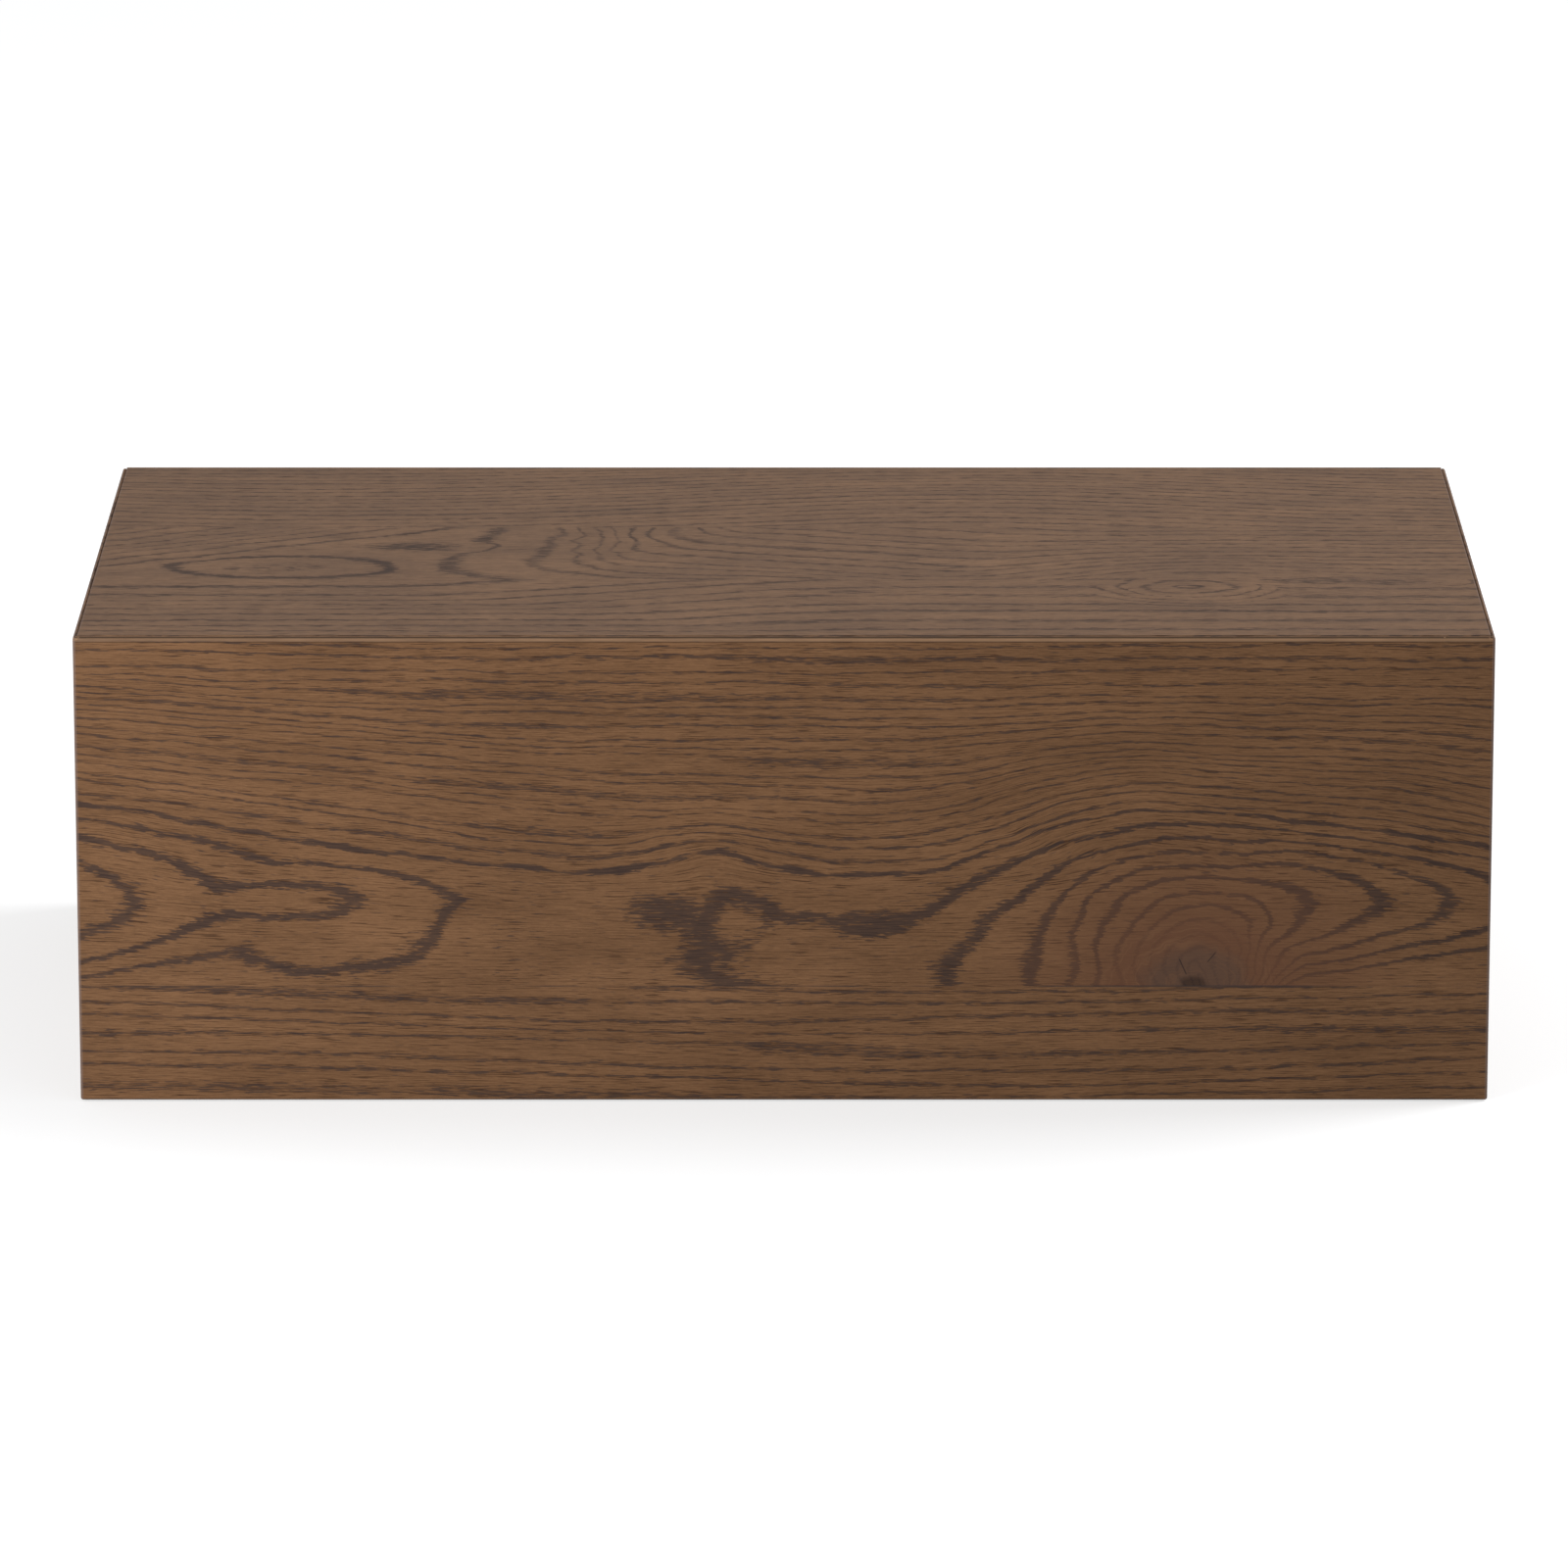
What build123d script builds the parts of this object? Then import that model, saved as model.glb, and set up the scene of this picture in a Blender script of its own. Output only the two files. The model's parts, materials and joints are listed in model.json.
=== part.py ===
from build123d import *
from math import cos, radians, sin
import os

# Low storage chest of oak-veneered board. Four boards are mitred and splined into a
# case, a thin floor sits in grooves, and a flush lid with mitred front and ends
# turns on three butt hinges behind. Two slotted stays stop the open lid.
#
# Frame: the origin is at floor level under the middle of the whole object,
# +X points right, -Y points to the front and +Z up. Sizes are in millimetres.

# ---------------------------------------------------------------- case sizes
case_length = 1000.0        # outside, left to right
case_depth = 550.0          # front face to back face
case_height = 340.0         # floor to the top of the closed lid
board = 18.0                # veneered board of the case and lid
arris = 1.8                 # rounding of the case's outside edges

# ----------------------------------------------------------- lid and its joint
lid_proud = 0.6             # the lid's top stands this far above the case's edges
lid_nose = 0.8              # upright flat at the lid's rim, above its mitre
lid_arris = 0.5             # rounding of the lid's top edges
rim_land = 0.2              # flat left between the case's arris and the lid's gap
lid_reveal = 0.8            # level gap between the case's mitre and the lid's
lid_gap = 1.2               # height of the gap over the back board
lid_open = 100.0            # degrees, where the stays stop the lid

# ------------------------------------------------------------------- hand holes
hand_hole_length = 110.0    # one through each end board, to lift the lid and carry the chest
hand_hole_height = 32.0
hand_hole_drop = 46.0       # case's upper edge down to the middle of the hole
hand_hole_round = 2.5       # rounding of both its rims

# ------------------------------------------------------------ floor and inside
floor_board = 9.0           # plywood floor
floor_lift = 12.0           # the floor's underside above the case's lower edge
groove_depth = 7.0
groove_slack = 0.5          # the floor stops short of the groove's end
groove_headroom = 0.2       # the groove is this much wider than the floor
bearer_width = 40.0
bearer_inset = 180.0        # ends of the case to the outer bearers
spline_thickness = 4.0
spline_width = 14.0
spline_inset = 12.0         # spline's centre from the two outside faces
spline_stop = 30.0          # the splines end short of the case's edges
spline_slack = 0.5          # room at the splines' ends and sides of the slots
corner_block = 28.0         # legs of the glue blocks
corner_block_blunt = 4.0    # flats on their sharp corners
bumper_radius = 5.0
bumper_height = 3.0
bumper_inset = 9.0          # bumper's centre from the inside faces
bumper_clearance = 0.2      # the closed lid floats this far above the bumpers

# ---------------------------------------------------------------------- glides
glide_height = 1.0
glide_radius = 4.5
glide_round = 0.3
glide_nail_radius = 1.0
glide_nail_length = 14.0
glide_left_inset = 110.0    # from the left end of the case
glide_right_inset = 158.0   # from the right end of the case

# ---------------------------------------------------------------------- hinges
hinge_length = 76.0
hinge_inset = 140.0         # ends of the case to the outer hinges
hinge_knuckles = 5
knuckle_radius = 3.0
knuckle_slack = 0.25        # between neighbouring knuckles
hinge_standoff = 3.5        # back face to the hinge axis
leaf_thickness = 1.5
leaf_reach = 19.5           # hinge axis to the leaf's far edge
leaf_relief = 0.3           # leaf's rim to the other leaf's knuckles
hinge_pin_radius = 1.5
hinge_pin_head_radius = 2.6
hinge_pin_head = 1.2
running_clearance = 0.05    # radial, between a pin and its hole
hinge_screw_pitch = 28.0
hinge_screw_reach = 12.5    # hinge axis to the screws' line

# ----------------------------------------------------------------- lid battens
batten_width = 45.0
batten_height = 20.0
batten_inset = 250.0        # ends of the case to the battens
batten_front_inset = 50.0   # front face to the battens' front ends
batten_back_inset = 60.0    # back face to the battens' back ends
batten_screw_inset = 30.0   # batten's ends to its outer screws
batten_screws = 4

# ------------------------------------------------------------------- lid stays
stay_lean = 4.4             # degrees from level down to the lid pivot, seen from the hinge axis
stay_spread = 26.0          # degrees from there to the post, with the lid shut
stay_floor_clearance = 12.0 # under the arm, with the lid shut
stay_width = 16.0
stay_thickness = 2.5
stay_tail = 14.0            # arm beyond the post with the lid fully open
stay_slot_clearance = 0.3   # each side of the post
stay_slot_early = 1.0       # slot beyond the post, lid shut
stay_slot_late = 0.4        # slot beyond the post, lid fully open
stay_side_clearance = 0.3   # between the arm and what flanks it
bracket_thickness = 2.0
post_radius = 3.0
post_tenon_radius = 2.5
post_collar_radius = 6.0
post_collar = 2.4
cap_thickness = 2.5
cap_round = 0.8
wall_plate_length = 46.0
wall_plate_width = 18.0
wall_plate_screw_pitch = 32.0
lid_plate_length = 40.0
lid_plate_width = 20.0
lid_plate_screw_pitch = 26.0
rivet_radius = 2.5
rivet_head_radius = 4.5
rivet_head = 1.6

# ---------------------------------------------------------------------- screws
screw_radius = 1.5
screw_head_radius = 3.2
screw_head = 1.5
screw_point = 3.0
cross_length = 3.4          # the driver's cross in the head
cross_width = 0.7
cross_depth = 0.8
edge_screw_length = 25.0    # into the back board's edge
face_screw_length = 13.0    # into the face of a board
batten_screw_length = 31.0  # through a batten into the lid

overcut = 5.0               # how far a cutter runs past what it cuts

# -------------------------------------------------------------- derived places
overall_depth = case_depth + hinge_standoff + knuckle_radius
front_y = -overall_depth / 2
back_y = front_y + case_depth
middle_y = (front_y + back_y) / 2
end_x = case_length / 2
case_foot = glide_height
case_top = case_height - lid_proud
lid_under = case_height - board
inside_length = case_length - 2 * board
inside_depth = case_depth - 2 * board
wall_x = inside_length / 2

floor_under = case_foot + floor_lift
floor_top = floor_under + floor_board

# The lid's rim stands in from the case's outside by the arris, its land and the gap.
lid_inset = arris + rim_land + lid_reveal + (lid_nose - lid_proud)

axis_y = back_y + hinge_standoff
axis_z = lid_under - lid_gap / 2
back_top = lid_under - lid_gap
hinge_places = (hinge_inset - end_x, 0.0, end_x - hinge_inset)
bearer_places = (bearer_inset - end_x, 0.0, end_x - bearer_inset)
batten_places = (batten_inset - end_x, end_x - batten_inset)

# Both pivots of a stay are equally far from the hinge axis, so the arm turns by
# exactly half of the lid's angle and its slot always stays on the post.
# Its length is what just fits over the floor while the lid is shut.
lid_pivot_angle = radians(stay_lean)
post_angle = radians(stay_lean + stay_spread)
arm_tilt = radians(stay_lean + stay_spread / 2)
open_ratio = 2 * sin(radians((stay_spread + lid_open) / 2))
stay_end = stay_tail - stay_width / 2
stay_room = axis_z - floor_top - stay_floor_clearance - stay_width / 2 - stay_end * cos(arm_tilt)
stay_radius = stay_room / (sin(lid_pivot_angle) + open_ratio * cos(arm_tilt))
pivot_y = axis_y - stay_radius * cos(lid_pivot_angle)
pivot_z = axis_z - stay_radius * sin(lid_pivot_angle)
post_y = axis_y - stay_radius * cos(post_angle)
post_z = axis_z - stay_radius * sin(post_angle)
shut_distance = 2 * stay_radius * sin(radians(stay_spread / 2))
open_distance = stay_radius * open_ratio

# Places along X of the right stay's layers, from the end board inwards.
wall_plate_x = wall_x - bracket_thickness
collar_x = wall_plate_x - post_collar
arm_outer_x = collar_x - stay_side_clearance
arm_inner_x = arm_outer_x - stay_thickness
ear_outer_x = arm_inner_x - stay_side_clearance
ear_inner_x = ear_outer_x - bracket_thickness
cap_inner_x = ear_outer_x - cap_thickness
lid_plate_x = ear_outer_x - lid_plate_width / 2


# ------------------------------------------------------------ shared shapes
def block(x_low, x_high, y_low, y_high, z_low, z_high):
    """Square-edged block between two corners."""
    centre = Pos((x_low + x_high) / 2, (y_low + y_high) / 2, (z_low + z_high) / 2)
    return centre * Box(x_high - x_low, y_high - y_low, z_high - z_low)


def prism(points, z_low, z_high):
    """Upright prism on a plan outline."""
    outline = Plane.XY.offset(z_low) * Polygon(*points, align=None)
    return extrude(outline, amount=z_high - z_low, dir=(0, 0, 1))


def rod_x(radius, x_low, x_high, y, z):
    """Round rod along X."""
    centre = Pos((x_low + x_high) / 2, y, z)
    return centre * Rot(0, 90, 0) * Cylinder(radius, x_high - x_low)


def rod_z(radius, x, y, z_low, z_high):
    """Round rod along Z."""
    return Pos(x, y, (z_low + z_high) / 2) * Cylinder(radius, z_high - z_low)


def left_of(shape):
    """The same piece on the left side."""
    return mirror(shape, about=Plane.YZ)


def wood_screw(length, place, cross=True):
    """Countersunk wood screw. Its head lies flush at the place, and it runs along -Z there."""
    straight = length - screw_head - screw_point
    head = Pos(0, 0, -screw_head / 2) * Cone(screw_radius, screw_head_radius, screw_head)
    shank = Pos(0, 0, -screw_head - straight / 2) * Cylinder(screw_radius, straight)
    point = Pos(0, 0, screw_point / 2 - length) * Cone(0, screw_radius, screw_point)
    screw = head + shank + point
    if cross:
        depth = Pos(0, 0, -cross_depth / 2)
        screw -= depth * Box(cross_length, cross_width, cross_depth)
        screw -= depth * Box(cross_width, cross_length, cross_depth)
    return place * screw


def lid_shape(inset, top, bottom, back):
    """Tray shape of the lid: square behind, and mitred at 45 degrees below the nose elsewhere."""
    nose = case_height - lid_nose
    slope = nose - bottom
    rim_x, rim_y = end_x - inset, front_y + inset
    low_x, low_y = rim_x - slope, rim_y + slope
    ends = [(rim_x, top), (rim_x, nose), (low_x, bottom),
            (-low_x, bottom), (-rim_x, nose), (-rim_x, top)]
    sides = [(rim_y, top), (rim_y, nose), (low_y, bottom), (back, bottom), (back, top)]
    across = extrude(Plane.XZ * Polygon(*ends, align=None), amount=case_depth, both=True)
    along = extrude(Plane.YZ * Polygon(*sides, align=None), amount=case_length, both=True)
    return across & along


# ------------------------------------------------------------------- fixings
def hinge_screw_places(hinge_x):
    """Places of one hinge's screws along X."""
    return [hinge_x + step * hinge_screw_pitch for step in (-1, 0, 1)]


def case_hinge_screws(hinge_x, cross=True):
    """Screws that hold one case leaf to the back board's edge."""
    y = axis_y - hinge_screw_reach
    return [wood_screw(edge_screw_length, Pos(x, y, back_top), cross)
            for x in hinge_screw_places(hinge_x)]


def lid_hinge_screws(hinge_x, cross=True):
    """Screws that hold one lid leaf to the lid."""
    y = axis_y - hinge_screw_reach
    return [wood_screw(face_screw_length, Pos(x, y, lid_under) * Rot(180, 0, 0), cross)
            for x in hinge_screw_places(hinge_x)]


def wall_plate_screws(cross=True):
    """Screws that hold the right stay's wall plate."""
    reach = wall_plate_screw_pitch / 2
    return [wood_screw(face_screw_length,
                       Pos(wall_plate_x, post_y, post_z + side * reach) * Rot(0, -90, 0),
                       cross)
            for side in (-1, 1)]


def lid_plate_screws(cross=True):
    """Screws that hold the right stay's lid bracket."""
    reach = lid_plate_screw_pitch / 2
    z = lid_under - bracket_thickness
    return [wood_screw(face_screw_length,
                       Pos(lid_plate_x, pivot_y + side * reach, z) * Rot(180, 0, 0),
                       cross)
            for side in (-1, 1)]


def batten_screws_at(x, cross=True):
    """Screws through one batten into the lid."""
    back = back_y - batten_back_inset - batten_screw_inset
    front = front_y + batten_front_inset + batten_screw_inset
    step = (back - front) / (batten_screws - 1)
    z = lid_under - batten_height
    return [wood_screw(batten_screw_length,
                       Pos(x, front + i * step, z) * Rot(180, 0, 0), cross)
            for i in range(batten_screws)]


# ---------------------------------------------------------------------- case
corners = {"front_left": (-1, -1), "front_right": (1, -1),
           "back_left": (-1, 1), "back_right": (1, 1)}


def corner_point(side_x, side_y):
    """Outside corner of the case in plan."""
    return side_x * end_x, front_y if side_y < 0 else back_y


def mitre_spline(side_x, side_y, slack=0.0):
    """Plywood spline across one mitre. The slack makes it the cutter of its own slot."""
    x, y = corner_point(side_x, side_y)
    low, high = case_foot + spline_stop, lid_under - spline_stop
    centre = Pos(x - side_x * spline_inset, y - side_y * spline_inset, (low + high) / 2)
    strip = Box(spline_width + 2 * slack, spline_thickness, high - low + 2 * slack)
    return centre * Rot(0, 0, -45 * side_x * side_y) * strip


def with_hand_hole(panel, side_x):
    """One end board with its hand hole cut through it and both rims rounded over."""
    z = case_top - hand_hole_drop
    wall = Plane(origin=(side_x * (wall_x - overcut), middle_y, z), x_dir=(0, 1, 0),
                 z_dir=(side_x, 0, 0))
    panel = panel - extrude(wall * SlotOverall(hand_hole_length, hand_hole_height),
                            amount=board + 2 * overcut)
    half_length, half_height = hand_hole_length / 2, hand_hole_height / 2
    rims = panel.edges().filter_by(Axis.X, reverse=True)
    rims = rims.filter_by_position(Axis.Y, middle_y - half_length, middle_y + half_length)
    rims = rims.filter_by_position(Axis.Z, z - half_height, z + half_height)
    return fillet(rims, hand_hole_round)


def case_boards():
    """The four mitred boards of the case."""
    x, front, back = end_x + overcut, front_y - overcut, back_y + overcut
    in_front, in_back = front_y + board, back_y - board
    outlines = {
        "front_panel": [(-x, front), (x, front), (wall_x, in_front), (-wall_x, in_front)],
        "back_panel": [(-x, back), (x, back), (wall_x, in_back), (-wall_x, in_back)],
        "left_side_panel": [(-x, front), (-x, back), (-wall_x, in_back), (-wall_x, in_front)],
        "right_side_panel": [(x, front), (x, back), (wall_x, in_back), (wall_x, in_front)],
    }
    envelope = block(-end_x, end_x, front_y, back_y, case_foot, case_top)
    envelope = fillet(envelope.edges(), arris)
    lid_space = lid_shape(lid_inset - lid_reveal, case_height + board, back_top,
                          back_y + board)
    groove_x, groove_y = wall_x + groove_depth, inside_depth / 2 + groove_depth
    groove = block(-groove_x, groove_x, middle_y - groove_y, middle_y + groove_y,
                   floor_under, floor_top + groove_headroom)
    slots = [mitre_spline(*side, slack=spline_slack) for side in corners.values()]

    boards = {}
    for name, outline in outlines.items():
        panel = envelope & prism(outline, case_foot - overcut, case_top + overcut)
        panel = panel - lid_space - groove
        for slot in slots:
            panel -= slot
        boards[name] = panel

    for side, name in ((-1, "left_side_panel"), (1, "right_side_panel")):
        boards[name] = with_hand_hole(boards[name], side)
    for cutter in wall_plate_screws(cross=False):
        boards["right_side_panel"] -= cutter
        boards["left_side_panel"] -= left_of(cutter)
    for hinge_x in hinge_places:
        boards["back_panel"] -= hinge_mortise(hinge_x, back_top - leaf_thickness, back_top)
        for cutter in case_hinge_screws(hinge_x, cross=False):
            boards["back_panel"] -= cutter
    for y in glide_rows():
        for x in glide_places():
            name = "front_panel" if y < middle_y else "back_panel"
            boards[name] -= glide_nail(x, y)
    return boards


def case_floor():
    """Plywood floor in the boards' grooves."""
    tongue = groove_depth - groove_slack
    x, y = wall_x + tongue, inside_depth / 2 + tongue
    return block(-x, x, middle_y - y, middle_y + y, floor_under, floor_top)


def bearer(x):
    """Strip under the floor, from the front board to the back board."""
    half = bearer_width / 2
    return block(x - half, x + half, front_y + board, back_y - board, case_foot, floor_under)


def glue_block(side_x, side_y):
    """Blunt triangular block in one inside corner."""
    x, y = corner_point(side_x, side_y)
    x, y = x - side_x * board, y - side_y * board
    leg, blunt = corner_block, corner_block_blunt
    plan = [(0, 0), (leg, 0), (leg, blunt), (blunt, leg), (0, leg)]
    outline = [(x - side_x * a, y - side_y * b) for a, b in plan]
    return prism(outline, floor_top, lid_under - bumper_height - bumper_clearance)


def bumper(side_x):
    """Rubber disc on a front corner block, just under the closed lid."""
    x = side_x * (wall_x - bumper_inset)
    y = front_y + board + bumper_inset
    top = lid_under - bumper_clearance
    return rod_z(bumper_radius, x, y, top - bumper_height, top)


# -------------------------------------------------------------------- glides
def glide_places():
    """Places of the glides along X."""
    return -end_x + glide_left_inset, end_x - glide_right_inset


def glide_rows():
    """Places of the glides along Y, at the middle of the front and back boards."""
    return front_y + board / 2, back_y - board / 2


def glide_nail(x, y):
    """Nail of one glide, which is also the hole that it makes."""
    return rod_z(glide_nail_radius, x, y, case_foot, case_foot + glide_nail_length)


def glide(x, y):
    """Nail-in glide with an eased rim."""
    disc = rod_z(glide_radius, x, y, 0, glide_height)
    disc = fillet(disc.edges().sort_by(Axis.Z)[0], glide_round)
    return disc + glide_nail(x, y)


# -------------------------------------------------------------------- hinges
def hinge_mortise(hinge_x, z_low, z_high):
    """Recess for one leaf, open at the back."""
    half = hinge_length / 2
    return block(hinge_x - half, hinge_x + half, axis_y - leaf_reach, axis_y, z_low, z_high)


def hinge_leaf(hinge_x, upper):
    """One leaf with its share of the knuckles. The case leaf has the outer ones."""
    sign = 1 if upper else -1
    face = lid_under if upper else back_top
    z_low, z_high = sorted((face, face + sign * leaf_thickness))
    left = hinge_x - hinge_length / 2
    rim = axis_y - knuckle_radius - leaf_relief
    leaf = block(left, left + hinge_length, axis_y - leaf_reach, rim, z_low, z_high)
    pitch = hinge_length / hinge_knuckles
    for i in range(hinge_knuckles):
        if (i % 2 == 1) != upper:
            continue
        x_low = left + i * pitch + (knuckle_slack / 2 if i > 0 else 0)
        x_high = left + (i + 1) * pitch - (knuckle_slack / 2 if i < hinge_knuckles - 1 else 0)
        leaf += block(x_low, x_high, rim - leaf_thickness, axis_y, z_low, z_high)
        leaf += rod_x(knuckle_radius, x_low, x_high, axis_y, axis_z)
    bore = hinge_pin_radius + running_clearance
    leaf -= rod_x(bore, left - overcut, left + hinge_length + overcut, axis_y, axis_z)
    screws = lid_hinge_screws if upper else case_hinge_screws
    for cutter in screws(hinge_x, cross=False):
        leaf -= cutter
    return leaf


def hinge_pin(hinge_x):
    """Pin with a button head at each end."""
    left, right = hinge_x - hinge_length / 2, hinge_x + hinge_length / 2
    pin = rod_x(hinge_pin_radius, left, right, axis_y, axis_z)
    pin += rod_x(hinge_pin_head_radius, left - hinge_pin_head, left, axis_y, axis_z)
    pin += rod_x(hinge_pin_head_radius, right, right + hinge_pin_head, axis_y, axis_z)
    return pin


# ----------------------------------------------------------------------- lid
def lid_board():
    """Lid board with its hinge mortises and pilot holes."""
    lid = lid_shape(lid_inset, case_height, lid_under, back_y)
    lid = fillet(lid.faces().sort_by(Axis.Z)[-1].edges(), lid_arris)
    for hinge_x in hinge_places:
        lid -= hinge_mortise(hinge_x, lid_under, lid_under + leaf_thickness)
        for cutter in lid_hinge_screws(hinge_x, cross=False):
            lid -= cutter
    for x in batten_places:
        for cutter in batten_screws_at(x, cross=False):
            lid -= cutter
    for cutter in lid_plate_screws(cross=False):
        lid = lid - cutter - left_of(cutter)
    return lid


def batten(x):
    """Strip that keeps the lid flat."""
    half = batten_width / 2
    strip = block(x - half, x + half, front_y + batten_front_inset, back_y - batten_back_inset,
                  lid_under - batten_height, lid_under)
    for cutter in batten_screws_at(x, cross=False):
        strip -= cutter
    return strip


# ----------------------------------------------------- right stay, and mirrored
def stay_plane(x):
    """Plane of the arm's face: its own X runs from the lid pivot to the post, lid shut."""
    along = (0, post_y - pivot_y, post_z - pivot_z)
    return Plane(origin=(x, pivot_y, pivot_z), x_dir=along, z_dir=(1, 0, 0))


def stay_arm():
    """Slotted arm that turns on the lid and slides over the post."""
    span = open_distance + stay_end
    slot_low, slot_high = shut_distance - stay_slot_early, open_distance + stay_slot_late
    slot_width = 2 * (post_radius + stay_slot_clearance)
    arm = Pos(span / 2, 0) * SlotCenterToCenter(span, stay_width)
    arm -= Pos((slot_low + slot_high) / 2, 0) * SlotCenterToCenter(slot_high - slot_low, slot_width)
    arm -= Circle(rivet_radius + running_clearance)
    return extrude(stay_plane(arm_inner_x) * arm, amount=stay_thickness)


def stay_post():
    """Turned post: tenon in the wall plate, collar, and the shank in the arm's slot."""
    post = rod_x(post_tenon_radius, wall_plate_x, wall_x, post_y, post_z)
    post += rod_x(post_collar_radius, collar_x, wall_plate_x, post_y, post_z)
    post += rod_x(post_radius, cap_inner_x, collar_x, post_y, post_z)
    return post


def stay_cap():
    """Cap pressed on the post, which keeps the arm on it."""
    cap = rod_x(post_collar_radius, cap_inner_x, ear_outer_x, post_y, post_z)
    cap = fillet(cap.edges().sort_by(Axis.X)[0], cap_round)
    return cap - stay_post()


def wall_plate():
    """Plate on the end board that carries the post."""
    centre = Plane(origin=(wall_plate_x, post_y, post_z), x_dir=(0, 0, 1), z_dir=(1, 0, 0))
    plate = extrude(centre * SlotOverall(wall_plate_length, wall_plate_width),
                    amount=bracket_thickness)
    plate -= stay_post()
    for cutter in wall_plate_screws(cross=False):
        plate -= cutter
    return plate


def stay_rivet():
    """Rivet that joins the arm to the lid bracket."""
    rivet = rod_x(rivet_radius, ear_inner_x, collar_x, pivot_y, pivot_z)
    rivet += rod_x(rivet_head_radius, ear_inner_x - rivet_head, ear_inner_x, pivot_y, pivot_z)
    rivet += rod_x(rivet_head_radius, collar_x, collar_x + rivet_head, pivot_y, pivot_z)
    return rivet


def lid_bracket():
    """Angle bracket under the lid, with a round-ended ear for the arm's pivot."""
    half = lid_plate_length / 2
    bracket = block(ear_outer_x - lid_plate_width, ear_outer_x, pivot_y - half, pivot_y + half,
                    lid_under - bracket_thickness, lid_under)
    bracket += block(ear_inner_x, ear_outer_x, pivot_y - stay_width / 2,
                     pivot_y + stay_width / 2, pivot_z, lid_under)
    bracket += rod_x(stay_width / 2, ear_inner_x, ear_outer_x, pivot_y, pivot_z)
    bracket -= stay_rivet()
    for cutter in lid_plate_screws(cross=False):
        bracket -= cutter
    return bracket


# ------------------------------------------------------------------ assembly
def pieces():
    """Every node's name with its solids."""
    nodes = {name: [panel] for name, panel in case_boards().items()}
    nodes["base_panel"] = [case_floor()]
    for name, x in zip(("left", "centre", "right"), bearer_places):
        nodes[f"{name}_bearer"] = [bearer(x)]
    for name, side in corners.items():
        nodes[f"{name}_spline"] = [mitre_spline(*side)]
        nodes[f"{name}_corner_block"] = [glue_block(*side)]
    nodes["lid_bumpers"] = [bumper(-1), bumper(1)]
    for name, y in zip(("front_glides", "back_glides"), glide_rows()):
        nodes[name] = [glide(x, y) for x in glide_places()]

    nodes["lid_panel"] = [lid_board()]
    nodes["batten_screws"] = []
    for name, x in zip(("left", "right"), batten_places):
        nodes[f"{name}_lid_batten"] = [batten(x)]
        nodes["batten_screws"] += batten_screws_at(x)

    nodes["case_hinge_screws"], nodes["lid_hinge_screws"] = [], []
    for name, hinge_x in zip(("left", "centre", "right"), hinge_places):
        nodes[f"{name}_hinge_case_leaf"] = [hinge_leaf(hinge_x, upper=False)]
        nodes[f"{name}_hinge_lid_leaf"] = [hinge_leaf(hinge_x, upper=True)]
        nodes[f"{name}_hinge_pin"] = [hinge_pin(hinge_x)]
        nodes["case_hinge_screws"] += case_hinge_screws(hinge_x)
        nodes["lid_hinge_screws"] += lid_hinge_screws(hinge_x)

    stay = {"stay_arm": stay_arm(), "stay_post": stay_post(), "stay_cap": stay_cap(),
            "stay_wall_plate": wall_plate(), "stay_rivet": stay_rivet(),
            "stay_lid_bracket": lid_bracket()}
    for name, piece in stay.items():
        nodes[f"right_{name}"] = [piece]
        nodes[f"left_{name}"] = [left_of(piece)]
    for name, screws in (("wall_plate_screws", wall_plate_screws()),
                         ("lid_bracket_screws", lid_plate_screws())):
        nodes[name] = screws + [left_of(screw) for screw in screws]
    return nodes


def main():
    """Writes one STEP file for each node."""
    os.makedirs("parts", exist_ok=True)
    for name, shapes in pieces().items():
        solids = [solid for shape in shapes for solid in shape.solids()]
        whole = solids[0] if len(solids) == 1 else Compound(solids)
        export_step(whole, f"parts/{name}.step")
    print("hinge axis", round(axis_y, 3), round(axis_z, 3))
    print("stay pivot", round(pivot_y, 3), round(pivot_z, 3), "radius", round(stay_radius, 3))


main()
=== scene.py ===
"""Looks of a low storage chest of oak-veneered boards: its finishes and a plain white studio."""

from __future__ import annotations

import json
import logging
import math
from dataclasses import dataclass
from enum import Enum

import bpy
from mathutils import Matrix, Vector

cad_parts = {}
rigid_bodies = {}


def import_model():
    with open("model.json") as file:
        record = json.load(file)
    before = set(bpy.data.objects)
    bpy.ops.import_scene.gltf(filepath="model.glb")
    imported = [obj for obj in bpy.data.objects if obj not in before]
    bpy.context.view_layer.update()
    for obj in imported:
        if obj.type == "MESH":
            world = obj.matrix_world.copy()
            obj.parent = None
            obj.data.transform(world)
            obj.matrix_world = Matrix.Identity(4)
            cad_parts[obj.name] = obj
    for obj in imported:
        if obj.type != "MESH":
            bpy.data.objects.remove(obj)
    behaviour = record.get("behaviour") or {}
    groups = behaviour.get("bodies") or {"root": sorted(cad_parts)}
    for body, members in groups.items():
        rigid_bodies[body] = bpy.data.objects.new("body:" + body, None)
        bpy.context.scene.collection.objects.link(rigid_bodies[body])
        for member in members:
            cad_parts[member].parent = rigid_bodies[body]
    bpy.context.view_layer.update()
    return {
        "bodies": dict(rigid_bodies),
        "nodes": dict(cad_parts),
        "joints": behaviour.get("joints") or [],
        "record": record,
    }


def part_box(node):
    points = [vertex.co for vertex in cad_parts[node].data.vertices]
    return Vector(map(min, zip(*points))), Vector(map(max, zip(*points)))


LOG = logging.getLogger("chest")
MM = 1000.0  # millimetres in a metre; finishes are worked out in millimetres
SEED_STEP = 7.0  # difference of seed between two pieces of one kind of wood
WHITE = (1.0, 1.0, 1.0, 1.0)
SEEN_RAYS = ("Is Camera Ray", "Is Glossy Ray", "Is Transmission Ray")
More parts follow.
